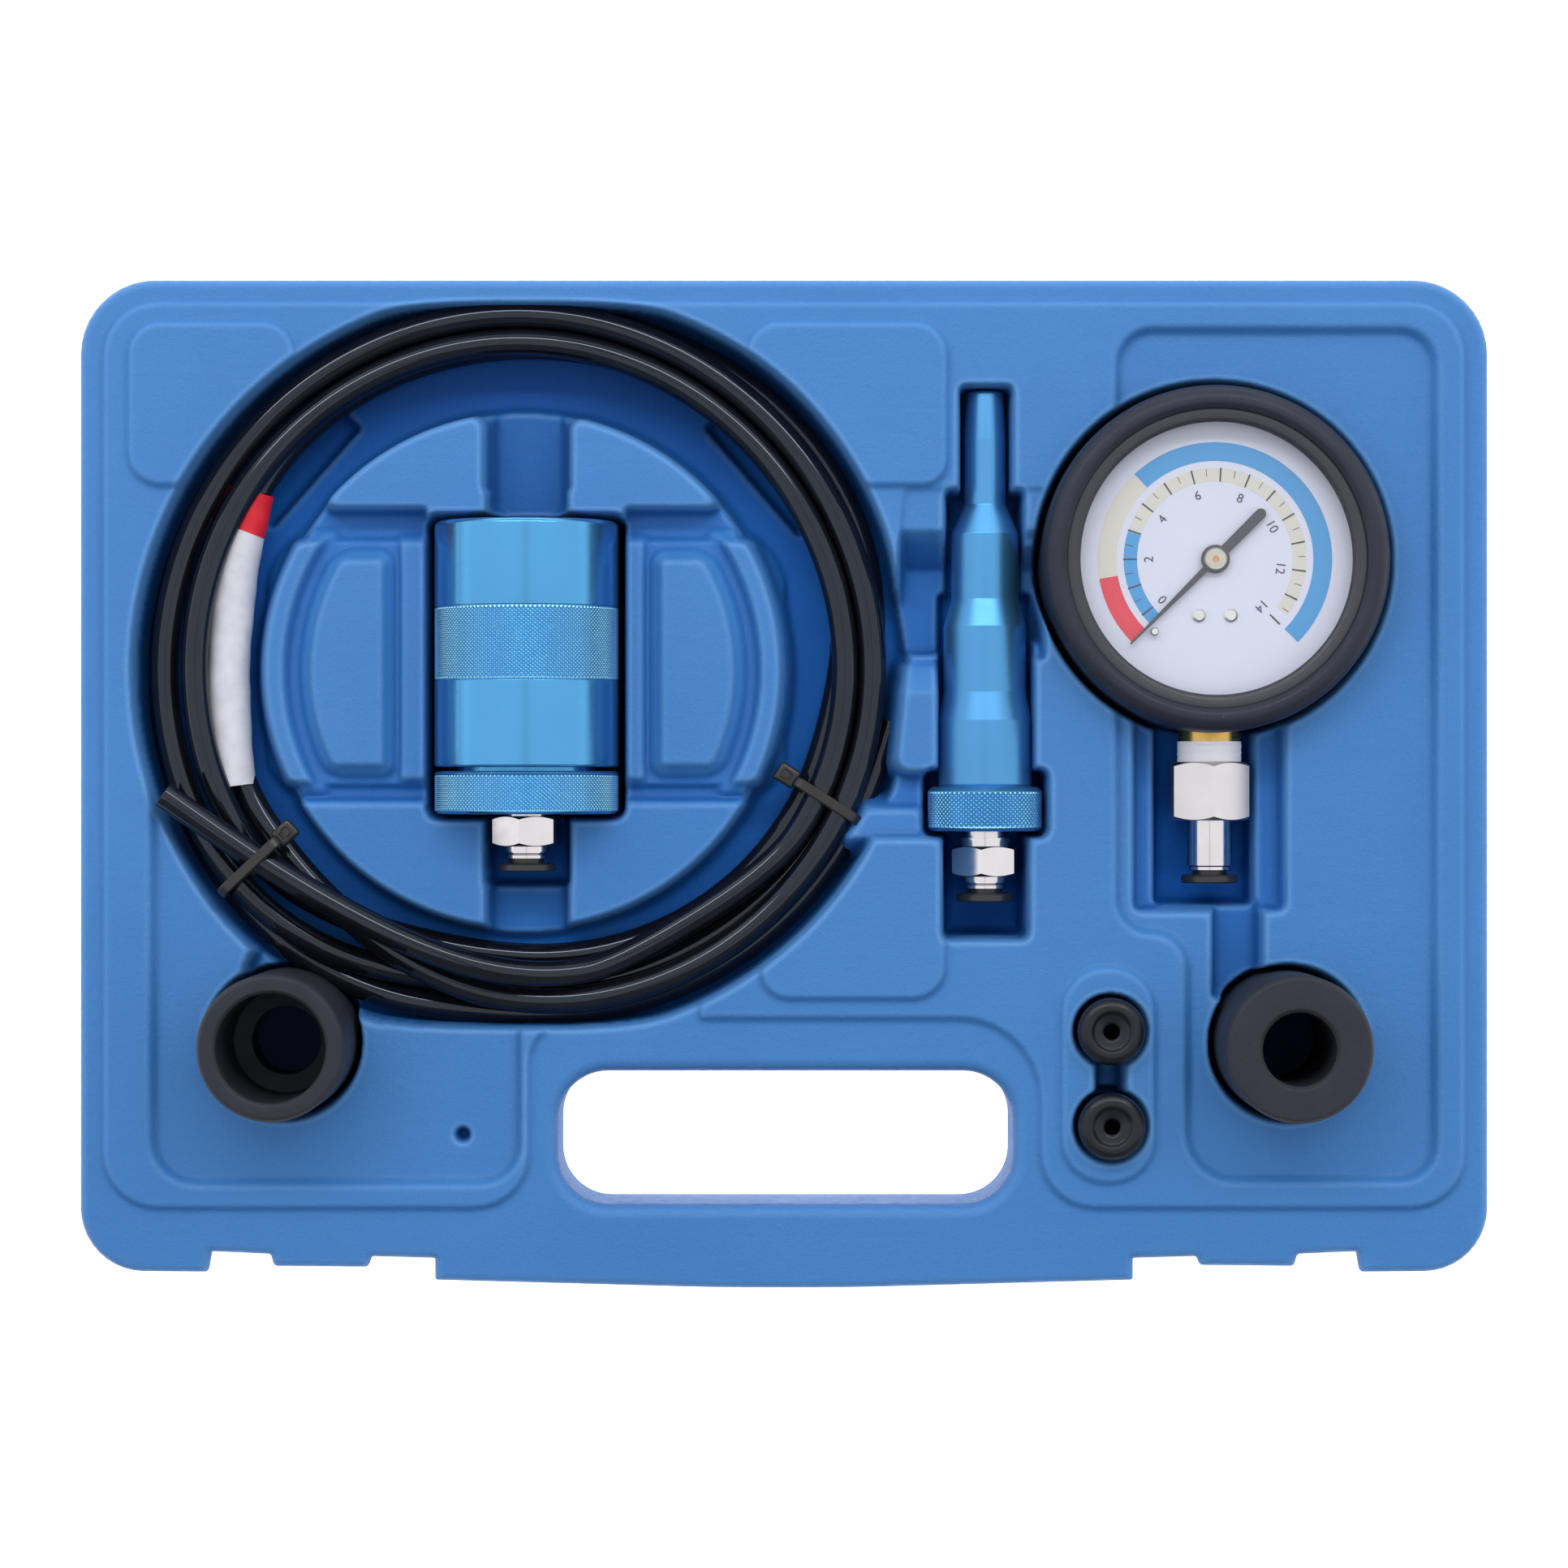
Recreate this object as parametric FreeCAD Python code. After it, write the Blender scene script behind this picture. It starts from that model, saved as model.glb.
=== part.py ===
import FreeCAD, Part
import math
import os
from FreeCAD import Vector as V

os.makedirs("parts", exist_ok=True)

# Radiator pressure tester: a set of testing tools in the tray half of a
# blow-moulded case. Millimetres, +X to the right, +Y to the hinge side, +Z up.
# The tray stands on z = 0 with its outline centred on the origin.

# ---------------------------------------------------------------- dimensions
WALL = 2.0                 # skin of the blow-moulded tray
TRAY_X = 157.9             # half width of the rim flange
TRAY_Y = 113.1             # half depth of the rim flange
RIM_Z = 30.5               # top of the rim flange
FLANGE_LOW_Z = 25.0        # underside of the rim flange
PANEL_Z = 32.0             # raised panel with the pockets
PAD_Z = 33.5               # raised pads on the panel
FIELD_Z = 29.5             # sunk fields on the panel
TOP = 80.0                 # height that every pocket is cut up to

COIL_C = (-58.8, 25.5)     # centre of the hose channel and the island
CHANNEL_R = 86.0
ISLAND_R = 58.2
CHANNEL_Z = 14.0

HOSE_R = 3.0               # pressure hose 6 mm outside
HOSE_BORE_R = 2.0          # and 4 mm inside

GX, GY = 96.3, 50.2        # axis of the pressure gauge
STEM_Z = 20.0              # height of the gauge's stem

CX, CZ = -58.0, 25.0       # axis of the hose coupling, along Y
CPL_R = 20.7

NX, NZ = 45.3, 24.0        # axis of the stepped nozzle, along Y

SLEEVE_R = 16.25           # rubber sleeves
SLEEVE_LEN = 45.0
SL_A = (-112.5, -57.9)     # wide-bore sleeve
SL_B = (113.0, -58.2)      # narrow-bore sleeve

PLUG_R = 7.5
PLUG_A = (73.0, -55.2)
PLUG_B = (73.1, -76.4)


# ------------------------------------------------------------------- helpers
def rounded(pts, off=0.0, z=0.0):
    """Closed wire of a counter-clockwise polygon (x, y, corner radius), moved
    outwards by off; convex corners grow by off and concave ones shrink."""
    n = len(pts)
    area = sum(
        pts[i][0] * pts[(i + 1) % n][1] - pts[(i + 1) % n][0] * pts[i][1]
        for i in range(n)
    )
    if area < 0:
        pts = pts[::-1]
    lines = []
    for i in range(n):
        a, b = pts[i], pts[(i + 1) % n]
        dx, dy = b[0] - a[0], b[1] - a[1]
        d = math.hypot(dx, dy)
        nx, ny = dy / d, -dx / d
        lines.append((a[0] + nx * off, a[1] + ny * off, dx / d, dy / d))
    corner = []
    for i in range(n):
        x1, y1, u1, w1 = lines[i - 1]
        x2, y2, u2, w2 = lines[i]
        cross = u1 * w2 - w1 * u2
        t = ((x2 - x1) * w2 - (y2 - y1) * u2) / cross
        px, py = x1 + u1 * t, y1 + w1 * t
        r = pts[i][2] if len(pts[i]) > 2 else 0.0
        r = r + off if cross > 0 else r - off
        corner.append((px, py, max(r, 0.0), u1, w1, u2, w2))
    edges, ends = [], []
    for px, py, r, u1, w1, u2, w2 in corner:
        turn = math.acos(max(-1.0, min(1.0, u1 * u2 + w1 * w2)))
        t = r * math.tan(turn / 2)
        if r < 0.05:
            p = V(px, py, z)
            ends.append((p, p, None))
            continue
        p1 = V(px - u1 * t, py - w1 * t, z)
        p2 = V(px + u2 * t, py + w2 * t, z)
        bx, by = u2 - u1, w2 - w1
        b = math.hypot(bx, by)
        dist = r / math.cos(turn / 2) - r
        mid = V(px + bx / b * dist, py + by / b * dist, z)
        ends.append((p1, p2, mid))
    m = len(ends)
    for i in range(m):
        p1, p2, mid = ends[i]
        if mid is not None:
            edges.append(Part.Arc(p1, mid, p2).toShape())
        q = ends[(i + 1) % m][0]
        if p2.distanceToPoint(q) > 1e-6:
            edges.append(Part.LineSegment(p2, q).toShape())
    return Part.Wire(edges)


def prism(pts, z0, z1, off=0.0):
    return Part.Face(rounded(pts, off, z0)).extrude(V(0, 0, z1 - z0))


def disc(c, r, z0, z1):
    return Part.makeCylinder(r, z1 - z0, V(c[0], c[1], z0))


def box(x0, x1, y0, y1, z0, z1):
    return Part.makeBox(x1 - x0, y1 - y0, z1 - z0, V(x0, y0, z0))


def loft(pts, z0, off0, z1, off1):
    return Part.makeLoft([rounded(pts, off0, z0), rounded(pts, off1, z1)], True, True)


def lathe(profile, base, direction):
    """Solid of revolution; profile is (distance along the axis, radius)."""
    pts = [V(r, 0, u) for u, r in profile]
    face = Part.Face(Part.makePolygon(pts + [pts[0]]))
    s = face.revolve(V(0, 0, 0), V(0, 0, 1), 360)
    s.Placement = FreeCAD.Placement(
        V(*base), FreeCAD.Rotation(V(0, 0, 1), V(*direction))
    )
    return s


def rod(base, direction, u0, u1, r):
    return lathe([(u0, 0), (u1, 0), (u1, r), (u0, r)], base, direction)


def hexagon(af, u0, u1, base, direction, chamfer=0.0, turn=0.0):
    """Hexagonal prism along direction with two corners up and down, turned
    about its axis by that angle, and its end corners turned off at 30 degrees."""
    rc = af / math.sqrt(3)
    pts = [
        V(rc * math.sin(math.radians(60 * k + turn)), rc * math.cos(math.radians(60 * k + turn)), u0)
        for k in range(6)
    ]
    s = Part.Face(Part.makePolygon(pts + [pts[0]])).extrude(V(0, 0, u1 - u0))
    if chamfer:
        c = (rc - af / 2 + 0.25) * 0.58
        s = s.common(
            lathe(
                [
                    (u0, 0),
                    (u1, 0),
                    (u1, af / 2 - 0.25),
                    (u1 - c, rc),
                    (u0 + c, rc),
                    (u0, af / 2 - 0.25),
                ],
                (0, 0, 0),
                (0, 0, 1),
            )
        )
    # local y, a corner of the hexagon, ends up along world z for an axis in y
    s.Placement = FreeCAD.Placement(
        V(*base), FreeCAD.Rotation(V(0, 0, 1), V(*direction))
    )
    return s


def one(s):
    s = s.removeSplitter()
    return s.Solids[0] if len(s.Solids) == 1 else s


def save(name, shape):
    solids = shape.Solids
    for s in solids:
        if not s.isValid() or s.Volume <= 0:
            print("BAD", name)
    if len(solids) == 1:
        shape = solids[0]
    else:
        shape = Part.makeCompound(solids)
    shape.exportStep("parts/%s.step" % name)
    b = shape.BoundBox
    print(
        "%-26s solids %d  vol %9.1f  x %7.2f %7.2f  y %7.2f %7.2f  z %6.2f %6.2f"
        % (name, len(solids), shape.Volume, b.XMin, b.XMax, b.YMin, b.YMax, b.ZMin, b.ZMax)
    )


# ---------------------------------------------------------------------- tray
FLANGE = [
    (-157.9, 113.1, 16.7), (157.9, 113.1, 16.7), (157.9, -109.3, 17.8),
    (129.4, -109.5, 0.7), (128.6, -104.9, 0.7), (115.2, -105.5, 0.9),
    (114.5, -108.2, 1.0), (93.4, -108.0, 1.0), (92.6, -106.0, 0.9),
    (78.3, -106.4, 0.4), (78.3, -111.3, 0.6), (0.0, -113.42, 900.0),
    (-78.3, -111.3, 0.6), (-78.3, -106.4, 0.4), (-92.6, -106.0, 0.9),
    (-93.4, -108.4, 1.0), (-114.5, -108.2, 1.0), (-115.2, -105.5, 0.9),
    (-128.6, -104.9, 0.7), (-129.4, -109.5, 0.7), (-157.9, -109.3, 17.8),
]
BODY = [(-154.9, 110.1, 14), (154.9, 110.1, 14), (154.9, -103.0, 14), (-154.9, -103.0, 14)]
GRIP = [(-75.0, -90.0, 2), (75.0, -90.0, 2), (75.0, -108.5, 4), (-75.0, -108.5, 4)]
PANEL = [
    (-152.4, 108.0, 12.2), (152.4, 108.0, 12.2), (152.4, -94.9, 12.2),
    (57.5, -94.9, 12.2), (57.5, -52.5, 18.2), (-18.8, -52.5, 0.4),
    (-18.8, -38.9, 0.4), (-37.5, -38.9, 0.4), (-37.5, -52.9, 0.4),
    (-57.2, -52.9, 17.3), (-57.2, -94.9, 12.2), (-152.4, -94.9, 12.2),
]
PADS = [
    [(-146.6, 103.3, 7.3), (-109.4, 103.3, 7.3), (-109.4, 66.9, 7.3), (-146.6, 66.9, 7.3)],
    [(-8.4, 103.3, 7.3), (36.5, 103.3, 7.3), (36.5, 66.9, 5.5), (-8.4, 66.9, 5.5)],
    [(8.4, -12.0, 2.5), (36.1, -12.0, 3.3), (36.1, -48.0, 7.3), (-5.2, -48.0, 8.2), (-5.2, -35.3, 1.8)],
    [(62.1, -41.1, 9.8), (82.9, -41.1, 9.8), (82.9, -89.1, 9.8), (62.1, -89.1, 9.8)],
]
LEFT_FIELD = [(-141.6, 6.5, 0.9), (-141.6, -89.5, 10.0), (-59.0, -89.5, 9.1), (-59.0, -35.3, 0.4), (-121.2, 12.0, 0.4)]
RIGHT_FIELD = [(74.5, 102.0, 8.2), (146.1, 102.0, 8.2), (146.1, -88.9, 8.2), (90.1, -88.9, 10.9), (90.1, -33.5, 7.6), (74.5, -33.5, 8.2)]
HANDLE = [(-50.8, -64.4, 11.3), (51.5, -64.4, 11.3), (51.5, -94.4, 11.3), (-50.8, -94.4, 11.3)]


def rect(x0, x1, y0, y1, r=0.0):
    return [(x0, y0, r), (x1, y0, r), (x1, y1, r), (x0, y1, r)]


# pockets as outline and floor height
POCKETS = [
    (rect(-79.8, -36.1, -7.2, 60.0, 1.8), 4.0),       # coupling
    (rect(-66.5, -48.9, -33.0, -6.2, 1.0), 10.0),     # its fitting
    (rect(-66.1, -49.0, 59.3, 90.2, 0.8), 18.0),      # finger channel
    (rect(39.0, 51.0, 58.4, 88.9, 1.5), 17.5),        # nozzle tip
    (rect(36.6, 53.4, 37.5, 65.5, 0.9), 14.4),
    (rect(34.4, 56.2, 1.4, 42.9, 0.9), 13.2),
    (rect(31.6, 58.9, -11.6, 2.9, 1.5), 10.8),        # nozzle knurl
    (rect(36.1, 54.2, -34.3, -10.9, 1.1), 10.0),      # nozzle fitting
    (rect(20.0, 70.0, 28.0, 58.0, 1.5), 18.0),        # finger groove
    (rect(78.8, 112.1, -28.2, 19.3, 0.9), 22.0),      # gauge stem, upper step
    (rect(84.1, 105.6, -26.9, 19.3, 0.7), 8.5),       # gauge stem
    (rect(96.6, 107.0, -48.0, -26.2, 0.8), 20.0),     # finger channel to the sleeve
    (rect(70.2, 75.9, -76.0, -56.0, 0.4), 20.0),      # slot between the plugs
    ([(-118.0, -33.0), (-120.5, -44.0), (-90.0, -54.0), (-92.0, -45.0)], 20.0),  # left sleeve to channel
    ([(-96.6, 81.1), (-116.6, 58.4), (-127.5, 68.4), (-107.5, 91.1)], 10.0),     # deep ends of the channel
    ([(-17.9, 81.1), (-7.0, 91.1), (14.3, 66.5), (3.4, 56.5)], 10.0),
]
ROUND_POCKETS = [
    ((96.9, 50.3), 39.6, 8.0),    # gauge
    (SL_A, 17.8, 9.0),
    (SL_B, 17.8, 9.0),
    (PLUG_A, 7.9, 14.0),
    (PLUG_B, 7.9, 14.0),
]
CHANNEL_TOP_Y, CHANNEL_LOW_Y = 107.5, -54.5


def tray_body(t):
    """Outer form of the tray for t = 0, and the hollow inside its skin for
    t = WALL."""
    s = loft(BODY, t, -5.0 - t, 5.0 + t, -t).fuse(prism(BODY, 5.0 + t, FLANGE_LOW_Z + 2 * t, -t))
    g = loft(GRIP, t, -3.0 - t, 3.0 + t, -t).fuse(prism(GRIP, 3.0 + t, FLANGE_LOW_Z + 2 * t, -t))
    s = s.fuse(g)
    if t:
        s = s.fuse(prism(BODY, FLANGE_LOW_Z, RIM_Z - t, -t))
        s = s.fuse(prism(GRIP, FLANGE_LOW_Z, RIM_Z - t, -t))
    else:
        s = s.fuse(prism(FLANGE, FLANGE_LOW_Z, RIM_Z))
    s = s.fuse(prism(PANEL, RIM_Z - t - 2.0, PANEL_Z - t, -t))
    for pad in PADS:
        s = s.fuse(prism(pad, PANEL_Z - t - 2.0, PAD_Z - t, -t))
    s = s.cut(prism(LEFT_FIELD, FIELD_Z - t, TOP, t))
    s = s.cut(prism(RIGHT_FIELD, FIELD_Z - t, TOP, t))
    s = s.fuse(prism(PADS[3], FIELD_Z - t - 2.0, PAD_Z - t, -t))
    channel = disc(COIL_C, CHANNEL_R + t, CHANNEL_Z - t, TOP).common(
        box(-200, 200, CHANNEL_LOW_Y - t, CHANNEL_TOP_Y + t, 0, TOP)
    )
    s = s.cut(channel)
    # island inside the hose channel: four levels
    cx, cy = COIL_C
    island = disc(COIL_C, ISLAND_R - t, CHANNEL_Z - t - 1.0, 24.0 - t)
    full = disc(COIL_C, ISLAND_R - t, 20.0 - t, PANEL_Z - t)
    upper = full.common(box(-200, 200, 61.5 + t, 200, 0, TOP))
    wings = full.common(box(-200, 200, -0.4 + t, 54.7 - t, 0, 28.5 - t))
    lower = full.common(box(-200, 200, -200, -3.8 - t, 0, 28.0 - t))
    s = s.fuse(island).fuse(upper).fuse(wings).fuse(lower)
    for x0, x1 in ((-108.5, -89.5), (-28.1, -9.1)):
        s = s.fuse(prism(rect(x0, x1, 3.3, 50.9, 2.5), 26.0 - t, 30.5 - t, -t))
    for pts, floor in POCKETS:
        s = s.cut(prism(pts, floor - t, TOP, t))
    for c, r, floor in ROUND_POCKETS:
        s = s.cut(disc(c, r + t, floor - t, TOP))
    s = s.cut(prism(HANDLE, -10, TOP, t))
    return s


outer = tray_body(0.0)
hollow = tray_body(WALL)
tray = outer.cut(hollow)
# the blow-pin hole opens the hollow to the left field
tray = tray.cut(Part.makeCylinder(1.5, 12, V(-72.1, -78.7, 22)))
big = max(tray.Solids, key=lambda s: s.Volume)
print("tray solids", len(tray.Solids), [round(s.Volume, 1) for s in tray.Solids], "shells", len(big.Shells))
tray = one(big)

# The one moulding is kept as blocks that meet face to face on flat cuts through
# its pockets, so that each block by itself is close to convex.
LOW_Z, FLOOR_Z = 9.0, 14.0
LAND = CHANNEL_R - 14.0


def slab(x0, x1, y0, y1, z0, z1):
    return tray.common(box(x0, x1, y0, y1, z0, z1))


def fans(shape, c, n, turn=0.0):
    """A shape cut on n planes that fan out from the line through c."""
    out = []
    for k in range(n):
        a0 = math.radians(turn + 360.0 * k / n)
        a1 = math.radians(turn + 360.0 * (k + 1) / n)
        fan = Part.Face(Part.makePolygon([
            V(c[0], c[1], -1),
            V(c[0] + 600 * math.cos(a0), c[1] + 600 * math.sin(a0), -1),
            V(c[0] + 600 * math.cos(a1), c[1] + 600 * math.sin(a1), -1),
            V(c[0], c[1], -1),
        ])).extrude(V(0, 0, 100))
        out.append(shape.common(fan))
    return out


blocks = []
# floor, round the handle opening
for x0, x1, y0, y1 in ((-160, -75, -120, 120), (-75, 60, -54.6, 120), (60, 160, -120, 120),
                       (-75, -50.8, -120, -54.6), (51.5, 60, -120, -54.6),
                       (-50.8, 51.5, -120, -94.4), (-50.8, 51.5, -64.4, -54.6)):
    blocks.append(slab(x0, x1, y0, y1, -5, LOW_Z))
blocks.append(slab(-50.8, 51.5, -94.4, -64.4, -5, 60))
# handle
for x0, x1, y0, y1 in ((-75, -50.8, -120, -54.6), (51.5, 60, -120, -54.6),
                       (-50.8, 51.5, -120, -94.4), (-50.8, 51.5, -64.4, -54.6),
                       (27.4, 60, -54.6, -41.0)):
    blocks.append(slab(x0, x1, y0, y1, LOW_Z, 60))
# hose channel: its floor, the land round it and the island in it
for x0, x1, y0, y1 in ((-160, -75, -40, 120), (-75, 27.4, -54.6, 120)):
    blocks.append(slab(x0, x1, y0, y1, LOW_Z, FLOOR_Z))
    above = slab(x0, x1, y0, y1, FLOOR_Z, 60)
    blocks += fans(above.cut(disc(COIL_C, LAND, 0, 60)), COIL_C, 12, 15.0)
for x0, x1, ys in ((-120, -79.8, (-40, -2.1, 58, 90)), (-36.1, 5, (-40, -2.1, 58, 90)),
                   (-79.8, -66.5, (-40, -7.2)), (-66.5, -48.9, (-40, -7.2)), (-48.9, -36.1, (-40, -7.2)),
                   (-79.8, -66.1, (60, 90)), (-66.1, -49.0, (60, 90)), (-49.0, -36.1, (60, 90)),
                   (-79.8, -36.1, (-7.2, 60))):
    for y0, y1 in zip(ys, ys[1:]):
        blocks.append(slab(x0, x1, y0, y1, FLOOR_Z, 60).common(disc(COIL_C, LAND, 0, 60)))
# wide sleeve
blocks += fans(slab(-160, -75, -120, -40, LOW_Z, 60), SL_A, 8)
# nozzle
blocks.append(slab(27.4, 66, 88.9, 120, LOW_Z, 60))
for xa, xb, y0, y1 in ((39.0, 51.0, 65.5, 88.9), (36.6, 53.4, 58.0, 65.5), (36.6, 53.4, 28.0, 58.0),
                       (34.4, 56.2, 2.9, 28.0), (31.6, 58.9, -11.6, 2.9)):
    for x0, x1 in ((27.4, xa), (xa, xb), (xb, 66)):
        blocks.append(slab(x0, x1, y0, y1, LOW_Z, 60))
for x0, x1 in ((27.4, 36.1), (36.1, 37.3), (37.3, 53.0), (53.0, 54.2), (54.2, 66)):
    blocks.append(slab(x0, x1, -34.3, -11.6, LOW_Z, 60))
blocks.append(slab(27.4, 66, -41, -34.3, LOW_Z, 60))
# gauge and its stem
blocks += fans(slab(66, 160, 19.3, 120, LOW_Z, 60), (96.9, 50.3), 8)
for x0, x1 in ((66, 84.1), (84.1, 105.6), (105.6, 160)):
    blocks.append(slab(x0, x1, -26.9, 19.3, LOW_Z, 60))
# narrow sleeve
for x0, x1 in ((66, 88), (88, 96.6), (96.6, 107), (107, 160)):
    blocks.append(slab(x0, x1, -41, -26.9, LOW_Z, 60))
blocks += fans(slab(88, 160, -120, -41, LOW_Z, 60), SL_B, 8)
# plugs
blocks += fans(slab(60, 88, -65.8, -41, LOW_Z, 60), PLUG_A, 6)
blocks += fans(slab(60, 88, -88, -65.8, LOW_Z, 60), PLUG_B, 6)
blocks.append(slab(60, 88, -120, -88, LOW_Z, 60))
pieces = [s for b in blocks for s in b.Solids if s.Volume > 0.05]
print("blocks", len(pieces), "volume", round(sum(s.Volume for s in pieces), 1), "of", round(tray.Volume, 1))
save("case_tray", Part.makeCompound(pieces))

# --------------------------------------------------------------------- gauge
G = (GX, GY, 0)
UP = (0, 0, 1)
SOUTH = (0, -1, 0)
stem_hole = rod((GX, GY, STEM_Z), SOUTH, 29.5, 45, 7.3)

boot = lathe(
    [(8.3, 0), (8.3, 36.2), (9.2, 37.8), (10.8, 38.7), (38.2, 38.7), (40.2, 37.6),
     (41.0, 35.6), (41.0, 33.0), (39.5, 33.0), (39.5, 34.0), (31.5, 34.0),
     (31.5, 32.0), (11.5, 32.0), (11.5, 0)], G, UP)
boot = boot.cut(stem_hole)
case = lathe(
    [(11.5, 0), (11.5, 32.0), (36.2, 32.0), (36.2, 31.0), (12.5, 31.0), (12.5, 0)], G, UP)
case = case.cut(stem_hole)
for sx in (-5.0, 5.0):
    case = case.cut(disc((GX + sx, GY - 20), 1.6, 11, 13))
# the boot's two screw pockets sit under the heads of the case screws
boot = boot.cut(disc((GX - 5.0, GY - 20), 3.1, 9.6, 12)).cut(disc((GX + 5.0, GY - 20), 3.1, 9.6, 12))
save("gauge_boot", one(boot))
save("gauge_case", one(case))

save("gauge_bezel", lathe(
    [(31.5, 32.0), (31.5, 34.0), (39.0, 34.0), (39.5, 33.4), (39.5, 30.6), (38.9, 29.8),
     (38.1, 29.8), (38.1, 32.0)], G, UP))
save("gauge_lens", lathe([(36.2, 0), (36.2, 31.9), (38.0, 31.9), (38.0, 0)], G, UP))

# stem block: inside block, round stem, threaded end, pressure passage
BY = 22.1
block = box(GX - 8, GX + 8, GY - 30.5, GY - 9, 12.5, 24.0).common(disc((GX, GY), 31.0, 0, 60))
stem = lathe([(24, 0), (24, 7.0), (40.6, 7.0), (40.6, 6.5), (52.0, 6.5), (52.7, 5.8), (52.7, 0)],
             (GX, GY, STEM_Z), SOUTH)
block = block.fuse(stem)
for sx in (-3.55, 3.55):
    post = disc((GX + sx, GY - 12.5), 1.8, 24.0, 32.7)
    block = block.fuse(post)
    block = block.cut(disc((GX + sx, GY - 12.5), 1.0, 27.5, 40))
for sx in (-5.0, 5.0):
    block = block.cut(disc((GX + sx, GY - 20), 1.5, 10, 18.0))
# pressure passage up the stem and across to the tube
block = block.cut(rod((GX, GY, STEM_Z), SOUTH, BY - 1.4, 60, 2.0))
block = block.cut(rod((GX, GY - BY, STEM_Z), (1, 0, 0), 0.0, 20, 1.2))
save("stem_block", one(block))

# bourdon tube: flat oval tube bent to a C, soldered into the block
A0, A1 = -78.0, 175.0


def ring_sector(r0, r1, z0, z1, a0, a1):
    a, b = math.radians(a0), math.radians(a1)
    m = (a + b) / 2

    def p(r, t):
        return V(GX + r * math.cos(t), GY + r * math.sin(t), z0)

    w = Part.Wire([
        Part.Arc(p(r1, a), p(r1, m), p(r1, b)).toShape(),
        Part.LineSegment(p(r1, b), p(r0, b)).toShape(),
        Part.Arc(p(r0, b), p(r0, m), p(r0, a)).toShape(),
        Part.LineSegment(p(r0, a), p(r1, a)).toShape(),
    ])
    return Part.Face(w).extrude(V(0, 0, z1 - z0))


solid_block = box(GX - 8, GX + 8, GY - 31.5, GY - 9, 12.0, 24.1)
tube = ring_sector(22.0, 25.0, 15.5, 23.5, A0, A1)
tube = tube.cut(ring_sector(22.45, 24.55, 15.95, 23.05, A0 - 1, A1 - 1.2)).cut(solid_block)
save("bourdon_tube", one(tube))

# end piece of the tube, with a slotted lug for the link's pin
tip = ring_sector(21.4, 25.4, 15.3, 24.7, A1, A1 + 7.0)
lug = box(GX - 25.6, GX - 21.2, GY - 7.2, GY + 1.2, 23.5, 24.7)
tip = tip.fuse(lug).cut(box(GX - 24.6, GX - 22.3, GY - 6.2, GY - 0.6, 20.0, 30))
save("bourdon_tip", one(tip))

# movement: two plates on two pillars, sector and pinion between them
PV = (GX + 18.0 * math.cos(math.radians(215)), GY + 18.0 * math.sin(math.radians(215)))
PLATE = [(GX - 18.2, GY - 14.0, 2), (GX - 13.0, GY - 20.5, 1), (GX + 8.0, GY - 20.5, 1),
         (GX + 8.0, GY + 4.0, 2), (GX - 4.5, GY + 4.0, 2), (GX - 18.2, GY - 6.5, 2)]
PILLARS = [(GX + 6.0, GY - 16.5), (GX - 12.2, GY - 17.0)]


def plate(z0, z1):
    s = prism(PLATE, z0, z1)
    for sx in (-3.55, 3.55):
        s = s.cut(disc((GX + sx, GY - 12.5), 2.1, z0 - 1, z1 + 1))
    s = s.cut(disc((GX, GY), 0.8, z0 - 1, z1 + 1))
    s = s.cut(disc(PV, 0.95, z0 - 1, z1 + 1))
    return s


save("movement_bottom_plate", one(plate(24.0, 25.0)))
top = plate(29.4, 30.4).fuse(disc((GX + 6.9, GY), 0.55, 28.1, 29.6))
save("movement_top_plate", one(top))
save("movement_pillars", Part.makeCompound([disc(c, 1.4, 25.0, 29.4) for c in PILLARS]))

# hairspring: flat spiral of half turns
HS_T, HS_S, HS_A, HS_N = 0.22, 0.5, 2.5, 8


def half_arc(c, r, up, z):
    s = 1 if up else -1
    return (V(GX + c + r * s, GY, z), V(GX + c, GY + r * s, z), V(GX + c - r * s, GY, z))


out_e, in_e = [], []
for k in range(HS_N):
    c = 0.0 if k % 2 == 0 else HS_S
    r = HS_A + HS_S * k
    up = k % 2 == 0
    out_e.append(half_arc(c, r + HS_T / 2, up, 28.2))
    in_e.append(half_arc(c, r - HS_T / 2, up, 28.2))
edges = [Part.Arc(a, b, c).toShape() for a, b, c in out_e]
edges.append(Part.LineSegment(out_e[-1][2], in_e[-1][2]).toShape())
edges += [Part.Arc(c, b, a).toShape() for a, b, c in reversed(in_e)]
edges.append(Part.LineSegment(in_e[0][0], out_e[0][0]).toShape())
save("hairspring", Part.Face(Part.Wire(edges)).extrude(V(0, 0, 0.6)))

# sector gear and pinion, module 0.4, 81 and 9 teeth round the full circle
MOD, Z_PIN, Z_SEC = 0.4, 9, 81
R_PIN, R_SEC = MOD * Z_PIN / 2, MOD * Z_SEC / 2


def tooth(c, r0, r1, half0, half1, angle, z0, z1):
    """Tapered tooth from r0 to r1 about centre c, half widths at both."""
    a = math.radians(angle)
    ux, uy, vx, vy = math.cos(a), math.sin(a), -math.sin(a), math.cos(a)
    pts = [(r0, -half0), (r1, -half1), (r1, half1), (r0, half0)]
    w = [V(c[0] + ux * u + vx * v, c[1] + uy * u + vy * v, z0) for u, v in pts]
    return Part.Face(Part.makePolygon(w + [w[0]])).extrude(V(0, 0, z1 - z0))


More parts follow.
